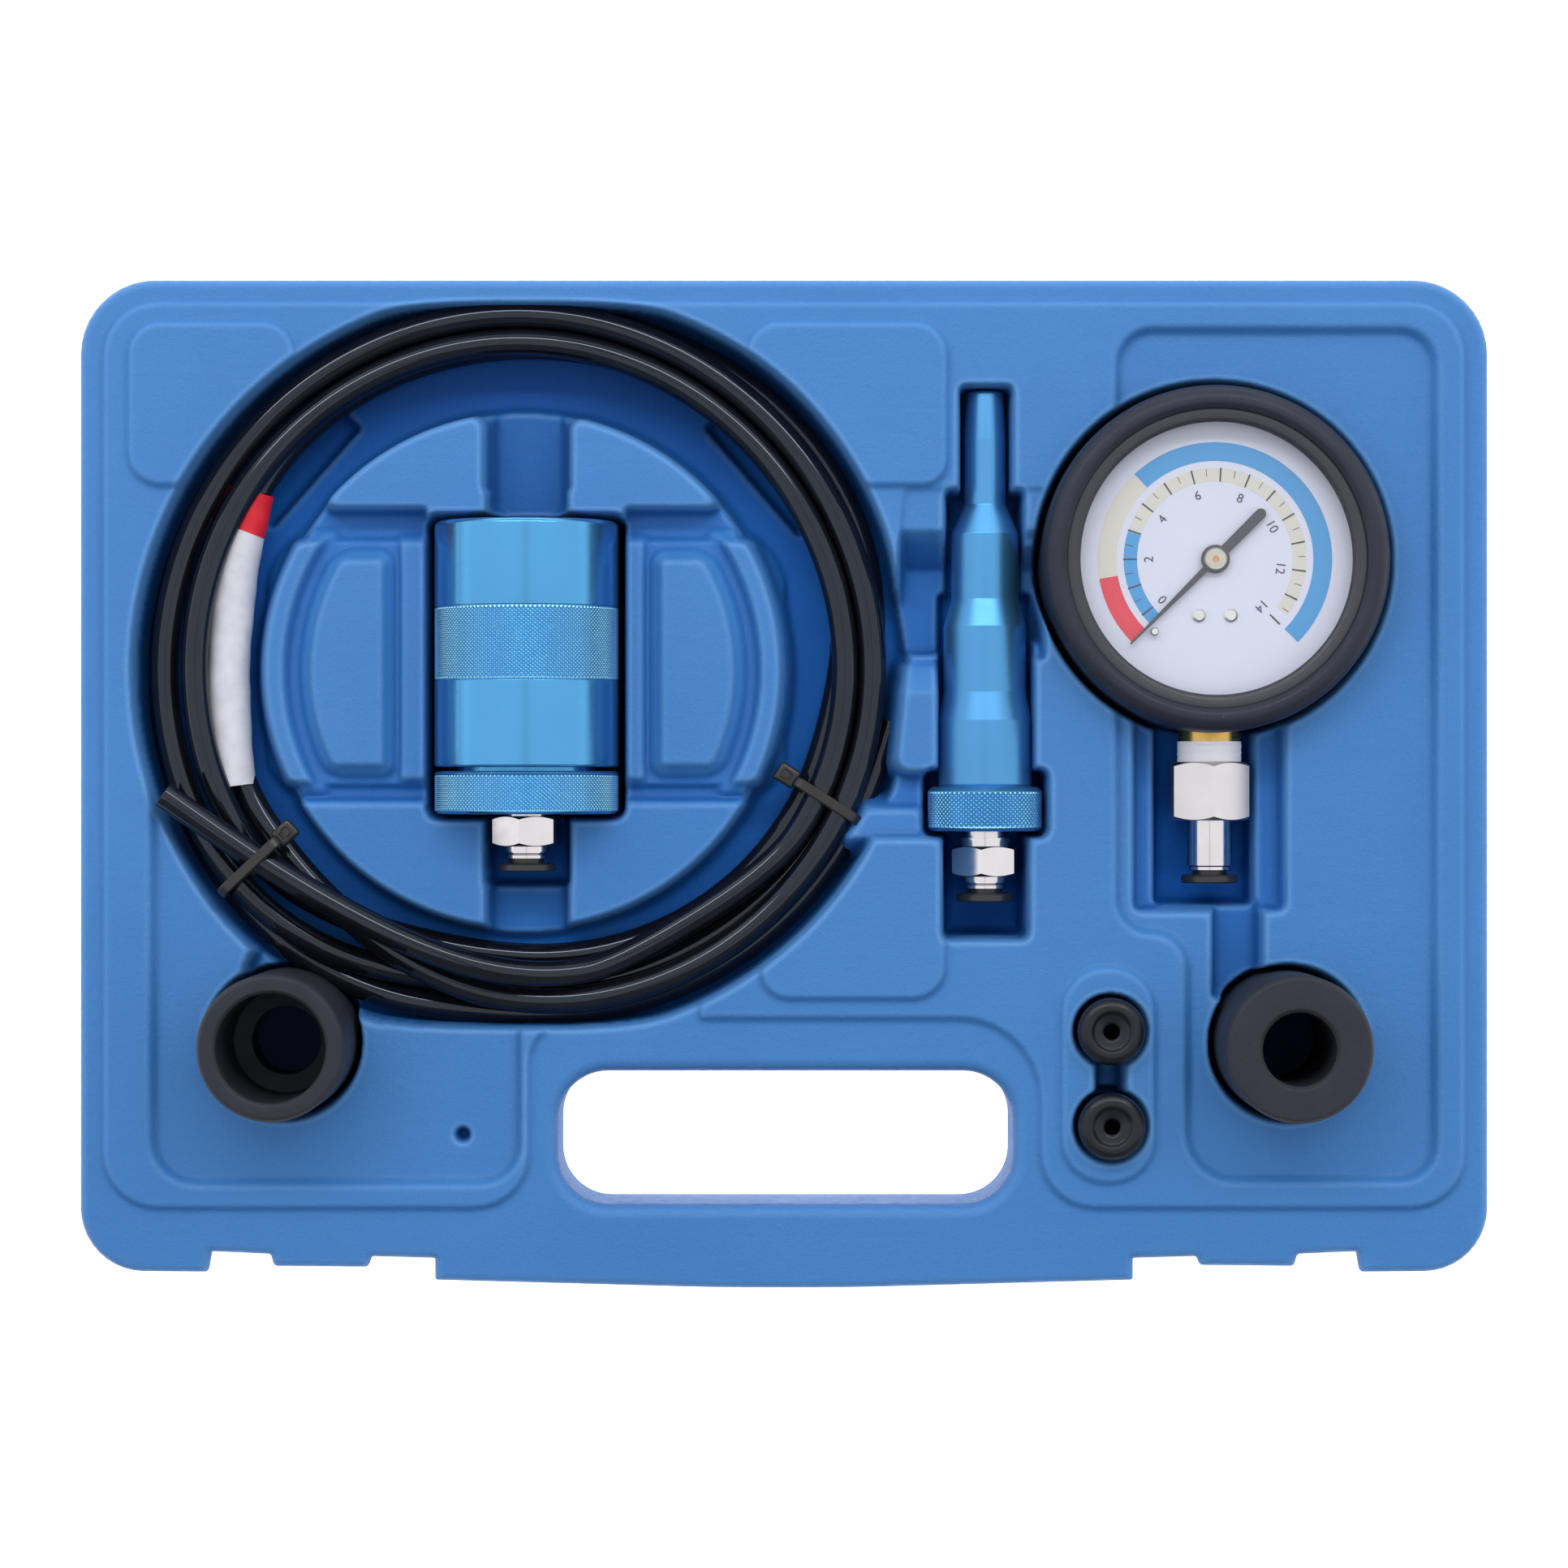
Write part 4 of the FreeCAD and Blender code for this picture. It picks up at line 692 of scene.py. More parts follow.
# island with its levels
box_i = (COIL_C[0] - 58.2, COIL_C[0] + 58.2, COIL_C[1] - 58.2, COIL_C[1] + 58.2)
lift((coil_shape(0.5, r=58.2), box_i), 24.0, 1.6, 3.0, 5.0)
for left, right in ((-200.0, -67.0), (-48.1, 200.0)):
    lift((coil_shape(3.5, lambda x, y: 61.5 - y, lambda x, y, a=left: a - x, lambda x, y, b=right: x - b, r=58.2),
          (COIL_C[0] - 58.2, COIL_C[0] + 58.2, 61.5, 84)), 32.0, 1.4, 1.2, 5.0, share=0.4)
for x0, x1 in ((-80.2, -66.4), (-48.7, -35.6)):
    lift(rect(x0, x1, 59.8, 66.0, 1.0), 32.0, 1.0, 1.0, 4.0)
for left, right in ((-200.0, -81.0), (-35.8, 200.0)):
    lift((coil_shape(1.0, lambda x, y: -0.2 - y, lambda x, y: y - 54.9, r=58.2), box_i), 26.0, 1.0, 1.0, 8.0)


def outer_ridge(x, y):
    d = np.hypot(x - COIL_C[0], y - COIL_C[1])
    return meet(0.6, d - 58.2, 53.6 - d, 0.4 - y, y - 54.3, 25 - np.abs(x - COIL_C[0]))


_keep = Z.copy()
lift((outer_ridge, box_i), 29.0, 1.3, 1.3, 50.0)
Z = np.where(np.hypot(X - COIL_C[0], Y - COIL_C[1]) < 57.0, Z, _keep)
lift((outer_ridge, box_i), 29.0, 1.2, 1.0, 12.0)
lift((coil_shape(1.5, lambda x, y: 3.8 - y, lambda x, y: y - 50.6, lambda x, y: x + 89.5, r=47.7),
      (-108.5, -89.5, 3.8, 50.9)), 30.5, 1.3, 1.3, 46.0)
lift((coil_shape(1.5, lambda x, y: 3.8 - y, lambda x, y: y - 50.6, lambda x, y: -27.9 - x, r=47.9),
      (-27.9, -9.0, 3.8, 50.9)), 30.5, 1.3, 1.3, 46.0)
lift(rect(-86.3, -80.2, 0.9, 54.7, 1.0), 28.0, 0.9, 0.9, 35.0)
lift(rect(-35.8, -31.4, 0.9, 54.7, 1.0), 28.0, 0.9, 0.9, 35.0)
lift((coil_shape(1.5, lambda x, y: y + 3.8, r=58.2), box_i), 28.0, 1.4, 1.5, 6.0)
# finger tongue, coupling pocket and the slot of its fitting
cut(rect(-66.1, -49.0, 59.3, 90.2, 5.0), 18.0, 1.5, 1.5, 15.0)
cut(rect(-79.5, -36.5, -7.2, 59.7, 1.8), 4.0, 0.7, 2.0, 1.2, share=1.0)
cut(rect(-66.5, -48.9, -34.0, -6.2, 1.0), 17.0, 1.2, 1.5, 4.0, share=0.5)
cut(rect(-66.5, -48.9, -22.6, -6.2, 1.0), 10.0, 1.0, 1.5, 2.0, share=1.0)

# lands round the nozzle: left of it, then its groove, block and terraces
cut([(27.0, 66.0, 1), (58.6, 66.0, 1), (58.6, 28.0, 1), (23.4, 28.0, 1)],
    lambda x, y: np.interp(y, (27.5, 48.6, 57.0, 66.5), (18.0, 18.0, 31.0, 31.4)), 0.8, 0.8, 8.0)
cut([(26.0, 28.5, 0.5), (37.5, 28.5, 0.5), (37.5, -12.0, 0.5), (12.5, -12.0, 0.5)], 24.5, 0.8, 0.8, 8.0, margin=4)
lift([(27.4, 27.3, 2.2), (34.6, 27.3, 2.2), (35.6, 2.7, 2.5), (24.9, 2.7, 3.0)],
     lambda x, y: np.interp(y, (20.5, 27.3), (31.0, 26.5)), 1.2, 1.0, 14.0, margin=4)
lift([(18.6, -5.6, 1.5), (31.0, -5.6, 1.5), (31.0, -12.5, 0.5), (14.0, -12.5, 0.5)], 28.5, 1.0, 1.0, 20.0, margin=4)
lift([(52.6, 64.4, 1.5), (57.9, 64.4, 1.5), (57.9, 53.3, 2.0), (52.6, 53.3, 2.0)], 27.5, 1.2, 1.5, 18.0, margin=4)
lift([(55.0, 31.8, 2.0), (66.0, 31.8, 1), (66.0, 2.5, 1), (55.0, 2.5, 0.5)],
     lambda x, y: np.interp(y, (23.0, 31.8), (32.0, 25.0)), 1.0, 1.0, 10.0, margin=4)
for shape, floor, draft in (
        (rect(39.7, 50.8, 58.4, 88.9, 1.2), 17.5, 1.5), (rect(36.6, 53.4, 37.5, 65.5, 0.9), 14.4, 1.5),
        (rect(35.1, 55.6, 1.4, 42.9, 0.9), 13.2, 1.5), (rect(31.9, 58.7, -11.6, 2.9, 1.5), 10.8, 1.5),
        (rect(36.1, 54.2, -34.3, -10.9, 1.1), 10.0, 3.0)):
    cut(shape, floor, 0.8, 1.8, draft, share=0.5)
# gauge, its stem, the sleeves and the plugs


def disc(c, r):
    return (lambda x, y: np.hypot(x - c[0], y - c[1]) - r, (c[0] - r, c[0] + r, c[1] - r, c[1] + r))


cut(disc((96.3, 50.2), 39.5), 8.0, 1.0, 2.5, 1.5, share=0.6)
cut(rect(78.8, 112.1, -28.2, 19.3, 1.5), 22.0, 1.2, 1.5, 6.0, share=0.5)
cut(rect(84.1, 105.6, -26.9, 19.3, 0.9), 9.8, 1.0, 1.8, 2.0, share=0.8)
cut(rect(96.6, 107.0, -48.0, -26.2, 1.0), 20.0, 1.0, 1.5, 5.0, share=0.5)
cut(disc((-112.5, -57.9), 17.1), 8.9, 0.8, 1.2, 1.0, share=0.5)
cut(disc((113.0, -58.2), 17.1), 8.9, 0.8, 1.2, 1.0, share=0.5)
cut([(-116.6, -31.6, 1), (-92.1, -45.3, 1), (-88.8, -53.8, 1), (-121.2, -42.5, 1)], 20.0, 1.5, 1.5, 6.0, share=0.5)
cut(rect(70.2, 75.9, -76.0, -56.0, 0.4), 20.0, 0.6, 1.0, 3.0, share=0.5)
cut(disc((73.0, -55.2), 7.75), 14.0, 0.5, 1.0, 1.0, share=0.3)
cut(disc((73.1, -76.4), 7.75), 14.0, 0.5, 1.0, 1.0, share=0.3)
cut(disc((-72.1, -78.7), 1.5), 24.0, 0.4, 0.4, 2.0)

# a light blur takes the steps of the grid off slanting walls
for _ in range(2):
    P = np.pad(Z, 1, mode="edge")
    Z = (4 * Z + 2 * (P[:-2, 1:-1] + P[2:, 1:-1] + P[1:-1, :-2] + P[1:-1, 2:])
         + P[:-2, :-2] + P[:-2, 2:] + P[2:, :-2] + P[2:, 2:]) / 16


def lip(d, R):
    return np.where(d > -R, R - np.sqrt(np.maximum(R * R - (np.minimum(d, 0) + R) ** 2, 0)), 0.0)


Z = Z - lip(D_FLANGE, 1.8) - lip(D_HANDLE, 3.0)


def nearest(poly, P):
    """Nearest points of a closed polyline and its outward normals there."""
    best = np.full(len(P), 1e18)
    q = np.zeros((len(P), 2))
    nrm = np.zeros((len(P), 2))
    area = 0.5 * float(np.sum(poly[:, 0] * np.roll(poly[:, 1], -1) - np.roll(poly[:, 0], -1) * poly[:, 1]))
    for a, b in zip(poly, np.roll(poly, -1, 0)):
        e = b - a
        ee = float(e @ e)
        if ee < 1e-12:
            continue
        t = np.clip(((P - a) @ e) / ee, 0, 1)
        c = a + t[:, None] * e
        d = ((P - c) ** 2).sum(1)
        m = d < best - 1e-12
        best[m] = d[m]
        q[m] = c[m]
        n = np.array((e[1], -e[0])) / math.sqrt(ee) * (1 if area > 0 else -1)
        nrm[m] = n
    return q, nrm


ny, nx = X.shape
keep = D_ALL < 0.5 * STEP
ids = np.arange(ny * nx).reshape(ny, nx)
ok = keep[:-1, :-1] & keep[:-1, 1:] & keep[1:, :-1] & keep[1:, 1:]
quads = np.stack([ids[:-1, :-1][ok], ids[:-1, 1:][ok], ids[1:, 1:][ok], ids[1:, :-1][ok]], 1)
e0 = np.concatenate([quads[:, [k, (k + 1) % 4]] for k in range(4)])
key = e0[:, 0].astype(np.int64) * (ny * nx) + e0[:, 1]
rev = e0[:, 1].astype(np.int64) * (ny * nx) + e0[:, 0]
border = e0[~np.isin(key, rev)]
P3 = np.stack([X.ravel(), Y.ravel(), Z.ravel()], 1)
bv = np.unique(border)
on_handle = D_HANDLE.ravel()[bv] > D_FLANGE.ravel()[bv]
fl, ha = bv[~on_handle], bv[on_handle]
q, _ = nearest(flange_line, P3[fl, :2])
P3[fl, :2] = q
P3[fl, 2] = 28.7
q, _ = nearest(handle_line, P3[ha, :2])
P3[ha, :2] = q
P3[ha, 2] = 27.5
used = np.unique(quads)
remap = np.full(ny * nx, -1)
remap[used] = np.arange(len(used))
verts = [P3[used]]
faces = [remap[quads]]
count = len(used)


def skirt(loop_ids, edges, rows):
    """Rows of points under a border loop; returns the last row's indices."""
    global count
    prev = {int(i): int(remap[i]) for i in loop_ids}
    order = [int(i) for i in loop_ids]
    for pts in rows:
        now = {i: count + k for k, i in enumerate(order)}
        verts.append(pts)
        count += len(order)
        faces.append(np.array([(prev[b], prev[a], now[a], now[b]) for a, b in edges]))
        prev = now
    return prev


fe = [(int(a), int(b)) for a, b in border if a in set(fl.tolist())]
fl_set, ha_set = set(fl.tolist()), set(ha.tolist())
fe = [(int(a), int(b)) for a, b in border if int(a) in fl_set]
he = [(int(a), int(b)) for a, b in border if int(a) in ha_set]
base_xy, base_n = nearest(flange_line, P3[fl, :2])


def row(xy, z):
    return np.column_stack([xy, np.full(len(xy), z)])


low_xy, low_n = nearest(lower_line, P3[fl, :2])
outer_last = skirt(fl, fe, [
    row(base_xy, 27.4), row(base_xy, 26.2), row(base_xy - base_n * 0.4, 25.4), row(base_xy - base_n * 1.2, 25.0),
    row(low_xy + low_n * 0.6, 25.0), row(low_xy, 24.4), row(low_xy, 15.0), row(low_xy, 6.2),
    row(low_xy - low_n * 0.35, 4.6), row(low_xy - low_n * 1.6, 2.2), row(low_xy - low_n * 4.4, 0.5),
    row(low_xy - low_n * 5.6, 0.0)])
h_xy, h_n = nearest(handle_line, P3[ha, :2])
inner_last = skirt(ha, he, [
    row(h_xy, 26.0), row(h_xy, 15.0), row(h_xy, 3.0), row(h_xy + h_n * 0.25, 1.6), row(h_xy + h_n * 0.9, 0.6),
    row(h_xy + h_n * 2.5, 0.0)])


def ordered(edges, last):
    nxt = dict(edges)
    start = edges[0][0]
    out, at = [start], nxt[start]
    while at != start and len(out) <= len(edges):
        out.append(at)
        at = nxt[at]
    return [last[i] for i in out]


loop_o, loop_i = ordered(fe, outer_last), ordered(he, inner_last)
all_v = np.concatenate(verts)
all_v[:, 1] = np.maximum(all_v[:, 1], -113.05)
tri = geometry.tessellate_polygon([[Vector(all_v[i]) for i in loop_o], [Vector(all_v[i]) for i in loop_i]])
flat_ids = loop_o + loop_i
bottom = []
for t in tri:
    a, b, c = (flat_ids[k] for k in t)
    n = np.cross(all_v[b] - all_v[a], all_v[c] - all_v[a])[2]
    bottom.append((a, b, c) if n < 0 else (a, c, b))
face_list = np.concatenate(faces).tolist() + [list(t) for t in bottom]
tray = make("case_tray_moulding", all_v, face_list, [case_blue], "tray", None, 0, ("case_tray",))


def box_blur(a, n):
    for axis in (0, 1):
        a = np.mean([np.roll(a, k, axis) for k in range(-n, n + 1)], axis=0)
    return a


# Painted highlight and shade baked from the tray's own relief: above 0.5 on crests, below it at the feet of walls,
# stored as the edge attribute.
relief = np.clip(Z - box_blur(box_blur(Z, 2), 2), -0.6, 0.6)
gx = np.clip(np.rint((np.asarray(all_v)[:, 0] - xs[0]) / STEP).astype(int), 0, len(xs) - 1)
gy = np.clip(np.rint((np.asarray(all_v)[:, 1] - ys[0]) / STEP).astype(int), 0, len(ys) - 1)
on_top = np.asarray(all_v)[:, 2] > Z[gy, gx] - 2.5
relief_light_shade = np.where(on_top, 0.5 + 0.5 * relief[gy, gx] / 0.6, 0.5)
tray.data.attributes.new("edge", "FLOAT", "POINT").data.foreach_set("value", relief_light_shade.astype(np.float32))
outer = (np.arange(len(all_v)) >= len(used)).astype(np.float32)
tray.data.attributes.new("outer", "FLOAT", "POINT").data.foreach_set("value", outer)

# ------------------------------------------------------------------ the gauge
G = (96.3, 50.2, 0.0)
boot_prof = soften([
    (11.0, 0.0), (8.3, 0.0), (8.3, 36.0, 0.6), (9.2, 37.7, 0.8), (10.8, 38.7, 1.0), (37.4, 38.7, 1.2),
    (39.9, 37.9, 1.1), (41.0, 36.2, 1.0), (41.0, 34.6, 0.5), (40.2, 33.4, 0.4), (39.6, 33.2, 0.2),
    (39.3, 33.9, 0.2), (31.5, 34.0)])
boot = recalc(lathe("gauge_boot_rubber", boot_prof, G, "up", [boot_rubber], "gauge", 256, sharp=40,
                    replaces=("gauge_boot",)))
bezel_prof = soften([
    (32.0, 34.0), (38.6, 34.0, 0.3), (39.4, 33.6, 0.4), (39.5, 32.6, 0.5), (39.3, 31.2, 0.4), (38.9, 30.5, 0.3),
    (38.1, 30.3, 0.2), (38.05, 31.9), (36.0, 31.9)])
bezel = recalc(lathe("gauge_bezel_ring", bezel_prof, G, "up", [bezel_black], "gauge", 256, sharp=40,
                     replaces=("gauge_bezel",)))
glass = recalc(lathe("gauge_glass", soften([(36.2, 0.0), (36.2, 31.9, 0.1), (38.0, 31.9, 0.25), (38.0, 0.0)]),
                     G, "up", [lens], "gauge", 192, sharp=40, replaces=("gauge_lens",)))


def arc_band(r0, r1, a0, a1, z, slot, out):
    """Flat band on the dial between two clock angles."""
    n = max(2, int(abs(a1 - a0) / 1.5))
    v, f, mi = out
    base = len(v)
    for k in range(n + 1):
        a = math.radians(90 - (a0 + (a1 - a0) * k / n))
        for r in (r0, r1):
            v.append((G[0] + r * math.cos(a), G[1] + r * math.sin(a), z))
    for k in range(n):
        i = base + 2 * k
        f.append((i, i + 2, i + 3, i + 1))
        mi.append(slot)


dv, df, dm = [], [], []
out = (dv, df, dm)
arc_band(22.0, 26.2, -135.0, -99.6, 33.34, 0, out)
arc_band(22.0, 26.2, -99.6, -43.4, 33.34, 1, out)
arc_band(22.0, 26.2, -43.4, 135.0, 33.34, 2, out)
arc_band(17.4, 20.4, -135.0, -72.0, 33.34, 2, out)
arc_band(17.4, 20.4, -72.0, 127.5, 33.34, 1, out)
for k in range(15):
    a = -127.5 + 18.75 * k
    arc_band(17.4, 20.5, a - 0.55, a + 0.55, 33.38, 3, out)
    if k < 14:
        arc_band(18.6, 20.2, a + 9.375 - 0.22, a + 9.375 + 0.22, 33.38, 3, out)
dial_print = recalc(make("dial_print", dv, df, [dial_red, dial_cream, dial_blue, dial_ink], "gauge", dm, 0))
for k in range(0, 15, 2):
    a = -127.5 + 18.75 * k
    t = bpy.data.curves.new("dial_number_%02d" % k, "FONT")
    t.body = str(k)
    t.size = 0.0029
    t.align_x = "CENTER"
    t.align_y = "CENTER"
    t.extrude = 0.00002
    t.materials.append(dial_ink.m)
    ob = bpy.data.objects.new("dial_number_%02d" % k, t)
    r = 14.7
    aa = math.radians(90 - a)
    ob.location = ((G[0] + r * math.cos(aa)) / 1000, (G[1] + r * math.sin(aa)) / 1000, 0.03337)
    ob.rotation_euler = (0, 0, math.radians(-a))
    bpy.context.collection.objects.link(ob)
    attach(ob, "gauge")

# sealing tape: wound turns with a frayed look
tape_prof = [(40.6 + 4.6 * k / 30, 7.2 + (0.03 if (k // 5) % 2 else -0.02)) for k in range(31)]
tape_prof = [(40.6, 6.6)] + tape_prof + [(45.2, 6.6)]
tape = recalc(lathe("sealing_tape", tape_prof, (G[0], G[1], 20.0), "south", [tape_white], "gauge", 96,
                    fn=lambda u, t, r: r + 0.03 * np.sin(7 * t + 5 * u) + 0.02 * np.sin(3 * t - 9 * u),
                    sharp=50, replaces=("ptfe_tape",)))


# --------------------------------------------------------------- the coupling
def knurl(u0, u1, count, depth, fade=0.4):
    def fn(u, t, r):
        rad = float(np.max(r))
        p = 2 * math.pi * rad / count

        def tri(x):
            x = x - np.floor(x)
            return 1 - np.abs(2 * x - 1)

        rows = round((u1 - u0) / (0.84 * p))
        a = tri(t * count / (2 * math.pi) + (u - u0) * rows / (u1 - u0))
        b = tri(t * count / (2 * math.pi) - (u - u0) * rows / (u1 - u0))
        edge = np.clip((u - u0) / fade, 0, 1) * np.clip((u1 - u) / fade, 0, 1)
        return r - depth * edge * (1 - np.minimum(1.0, 1.3 * np.minimum(a, b)))
    return fn


C = (-58.0, 59.0, 25.0)
cb = soften([(0.0, 14.2), (0.0, 19.9, 0.3), (0.8, 20.7, 0.3), (19.1, 20.7, 0.1), (19.3, 20.45, 0.05)])
band = [(19.4 + 16.2 * k / 114, 20.7) for k in range(1, 114)]
cb2 = soften([(35.7, 20.45, 0.05), (35.9, 20.7, 0.1), (54.8, 20.7, 0.3), (55.2, 20.3, 0.2), (55.2, 17.6), (48.3, 17.6),
              (48.3, 16.5), (1.6, 16.5), (1.6, 14.2)])
kn = knurl(19.4, 35.6, 128, 0.42)
coupling = recalc(lathe("coupling_barrel", cb + band + cb2, C, "south", [blue_metal, blue_knurl], "coupling", 768,
                        fn=lambda u, t, r: np.where((u > 19.35) & (u < 35.65) & (r > 20), kn(u, t, r), r),
                        idx=lambda u, r: 1 if 19.4 < u < 35.6 and r > 20 else 0, sharp=50,
                        replaces=("coupling_body",), closed=True))
capp = soften([(50.8, 4.8), (50.8, 17.1), (51.2, 17.52), (54.4, 17.52), (54.6, 15.6), (56.1, 15.6), (56.1, 20.2, 0.2),
               (56.6, 20.7, 0.2)])
capb = [(56.9 + 8.1 * k / 54, 20.7) for k in range(1, 54)]
capq = soften([(65.0, 20.7, 0.2), (65.7, 19.9, 0.3), (65.7, 4.8)])
kc = knurl(56.9, 65.0, 128, 0.42, 0.3)
cap = recalc(lathe("coupling_end_cap", capp + capb + capq, C, "south", [blue_metal, blue_knurl], "cap", 768,
                   fn=lambda u, t, r: np.where((u > 56.85) & (u < 65.05) & (r > 20), kc(u, t, r), r),
                   idx=lambda u, r: 1 if 56.9 < u < 65.0 and r > 20 else 0, sharp=50, closed=True,
                   replaces=("coupling_cap",)))

# ----------------------------------------------------------------- the nozzle
N = (45.3, 88.4, 24.0)
np1 = soften([
    (6.0, 2.0), (0.0, 2.0, 0.2), (0.0, 3.7, 0.3), (0.5, 4.15, 0.3), (11.0, 4.72, 0.1), (25.5, 4.72, 0.15),
    (32.1, 7.55, 0.15), (46.8, 7.55, 0.15), (53.0, 9.3, 0.15), (67.7, 9.3, 0.15), (74.1, 10.5, 0.15),
    (88.4, 10.5, 0.15), (89.0, 10.3), (89.0, 11.8, 0.2), (90.0, 12.9, 0.3)])
npb = [(90.0 + 8.2 * k / 64, 12.9) for k in range(1, 64)]
np2 = soften([(98.2, 12.9, 0.3), (99.0, 12.0, 0.3), (99.0, 4.8), (97.0, 4.8)])
kz = knurl(90.0, 98.2, 66, 0.55, 0.5)
nozzle = recalc(lathe("nozzle_stepped", np1 + npb + np2, N, "south", [blue_nozzle, blue_knurl], "nozzle", 528,
                      fn=lambda u, t, r: np.where((u > 89.9) & (u < 98.3) & (r > 12), kz(u, t, r), r),
                      idx=lambda u, r: 1 if 90.0 < u < 98.2 and r > 12.5 else 0, sharp=40,
                      replaces=("step_nozzle",)))



def groove_mask(ob, centre, radius, depth):
    """How deep each point of a knurled piece lies in its grooves."""
    co = np.empty(3 * len(ob.data.vertices))
    ob.data.vertices.foreach_get("co", co)
    co = co.reshape(-1, 3) * 1000.0
    r = np.hypot(co[:, 0] - centre[0], co[:, 2] - centre[2])
    ob.data.attributes.new("groove", "FLOAT", "POINT").data.foreach_set(
        "value", np.clip((radius - r) / depth, 0, 1).astype(np.float32))


# The groove depth drives the painted shade and highlight of the knurl material.
groove_mask(coupling, C, 20.7, 0.42)
groove_mask(cap, C, 20.7, 0.42)
groove_mask(nozzle, N, 12.9, 0.55)

# ---------------------------------------------------------- sleeves and plugs
SA, SB = (-112.5, -57.9, 0.0), (113.0, -58.2, 0.0)
Z0, Z1 = 9.3, 54.3
sa = soften([(Z0, 7.8), (Z0, 16.05, 0.2), (Z0 + 0.3, 16.25, 0.2), (Z1 - 0.9, 16.25, 0.5), (Z1, 15.5, 0.4),
             (Z1, 12.7, 0.3), (Z1 - 0.7, 12.05, 0.3), (Z0 + 12, 12.05, 0.6), (Z0 + 12, 7.8)])
sb = soften([(Z0, 8.15), (Z0, 16.05, 0.2), (Z0 + 0.3, 16.25, 0.2), (Z1 - 0.9, 16.25, 0.5), (Z1, 15.5, 0.4),
             (Z1, 8.9, 0.4), (Z1 - 0.8, 8.15, 0.4)])
recalc(lathe("sleeve_wide_bore", sa, SA, "up", [sleeve_rubber], "wide_sleeve", 128, sharp=40, closed=True,
             replaces=("large_sleeve",)))
recalc(lathe("sleeve_narrow_bore", sb, SB, "up", [sleeve_rubber], "narrow_sleeve", 128, sharp=40, closed=True,
             replaces=("small_sleeve",)))
pl = soften([(14.3, 1.85), (14.3, 5.6, 0.3), (15.0, 6.3, 0.3), (33.6, 6.3, 0.15), (33.6, 6.9, 0.2), (34.2, 7.5, 0.3),
             (36.6, 7.5, 0.5), (37.9, 6.9, 0.5), (38.4, 5.8, 0.4), (38.4, 4.6, 0.4), (37.6, 3.9, 0.3),
             (37.3, 2.3, 0.2), (37.0, 1.85, 0.1)])
for name, body, node, c in (("plug_rear_rubber", "rear_plug", "plug_rear", (73.0, -55.2, 0.0)),
                            ("plug_front_rubber", "front_plug", "plug_front", (73.1, -76.4, 0.0))):
    recalc(lathe(name, pl, c, "up", [plug_rubber], body, 96, sharp=40, closed=True, replaces=(node,)))


# ----------------------------------------------------------------- cable ties
def tie(name, p_in, p_out, z0, z1, head_off, head_z, node):
    ix, iy = p_in
    ox, oy = p_out
    L = math.hypot(ox - ix, oy - iy)
    dx, dy = (ox - ix) / L, (oy - iy) / L
    rr, t, w = 2.0, 1.0, 1.2
    path = []
    for cx, cz, a0 in ((rr, z0 + rr, 180), (L - rr, z0 + rr, 270), (L - rr, z1 - rr, 0), (rr, z1 - rr, 90)):
        for k in range(7):
            a = math.radians(a0 + 15 * k)
            path.append((cx + rr * math.cos(a), cz + rr * math.sin(a), math.cos(a), math.sin(a)))
    fine = []
    for a, b in zip(path, path[1:] + path[:1]):
        d = math.hypot(b[0] - a[0], b[1] - a[1])
        n = max(1, int(d / 0.22))
        for k in range(n):
            s = k / n
            fine.append(tuple(a[i] + (b[i] - a[i]) * s for i in range(4)))
    v, f = [], []
    at = 0.0
    m = len(fine)
    for i, (u, z, nu, nz) in enumerate(fine):
        ln = math.hypot(nu, nz)
        nu, nz = nu / ln, nz / ln
        rib = 0.02 if (i // 2) % 2 else 0.0
        for off, side in ((0.0, -w), (0.0, w), (t - 0.3, w), (t - rib, w * 0.7), (t - rib, -w * 0.7), (t - 0.3, -w)):
            uu, zz = u + nu * off, z + nz * off
            v.append((ix + dx * uu - dy * side, iy + dy * uu + dx * side, zz))
    for i in range(m):
        j = (i + 1) % m
        for k in range(6):
            l = (k + 1) % 6
            f.append((i * 6 + k, i * 6 + l, j * 6 + l, j * 6 + k))
    # ratchet head: block with bevelled edges, a window and a short cut tail
    import bmesh
    bm = bmesh.new()
    bmesh.ops.create_cube(bm, size=1.0)
    bmesh.ops.scale(bm, vec=(5.2, 4.4, 3.2), verts=bm.verts)
    bmesh.ops.bevel(bm, geom=list(bm.edges), offset=0.8, segments=4, affect="EDGES", profile=0.5)
    top = [fc for fc in bm.faces if fc.normal.z > 0.99 and fc.calc_area() > 4]
    ins = bmesh.ops.inset_region(bm, faces=top, thickness=0.75, depth=0.0)
    bmesh.ops.inset_region(bm, faces=top, thickness=0.08, depth=-0.9)
    tail = bmesh.ops.create_cube(bm, size=1.0)["verts"]
    bmesh.ops.scale(bm, vec=(1.5, 2.1, 1.0), verts=tail)
    bmesh.ops.translate(bm, vec=(-0.4, 0.0, 1.1), verts=tail)
    hx, hy = ix - dx * head_off, iy - dy * head_off
    bm.verts.index_update()
    base = len(v)
    for q in bm.verts:
        v.append((hx + dx * q.co.x - dy * q.co.y, hy + dy * q.co.x + dx * q.co.y, head_z + q.co.z))
    for fc in bm.faces:
        f.append(tuple(base + q.index for q in fc.verts))
    bm.free()
    return recalc(make(name, v, f, [tie_nylon], "hose", None, 35, (node,)))


tie("hose_tie_left", (-113.2, -12.6), (-125.4, -24.1), 21.0, 34.8, 2.4, 32.6, "cable_tie_left")
tie("hose_tie_right", (2.7, 0.7), (16.4, -8.1), 15.7, 28.0, 2.4, 26.0, "cable_tie_right")

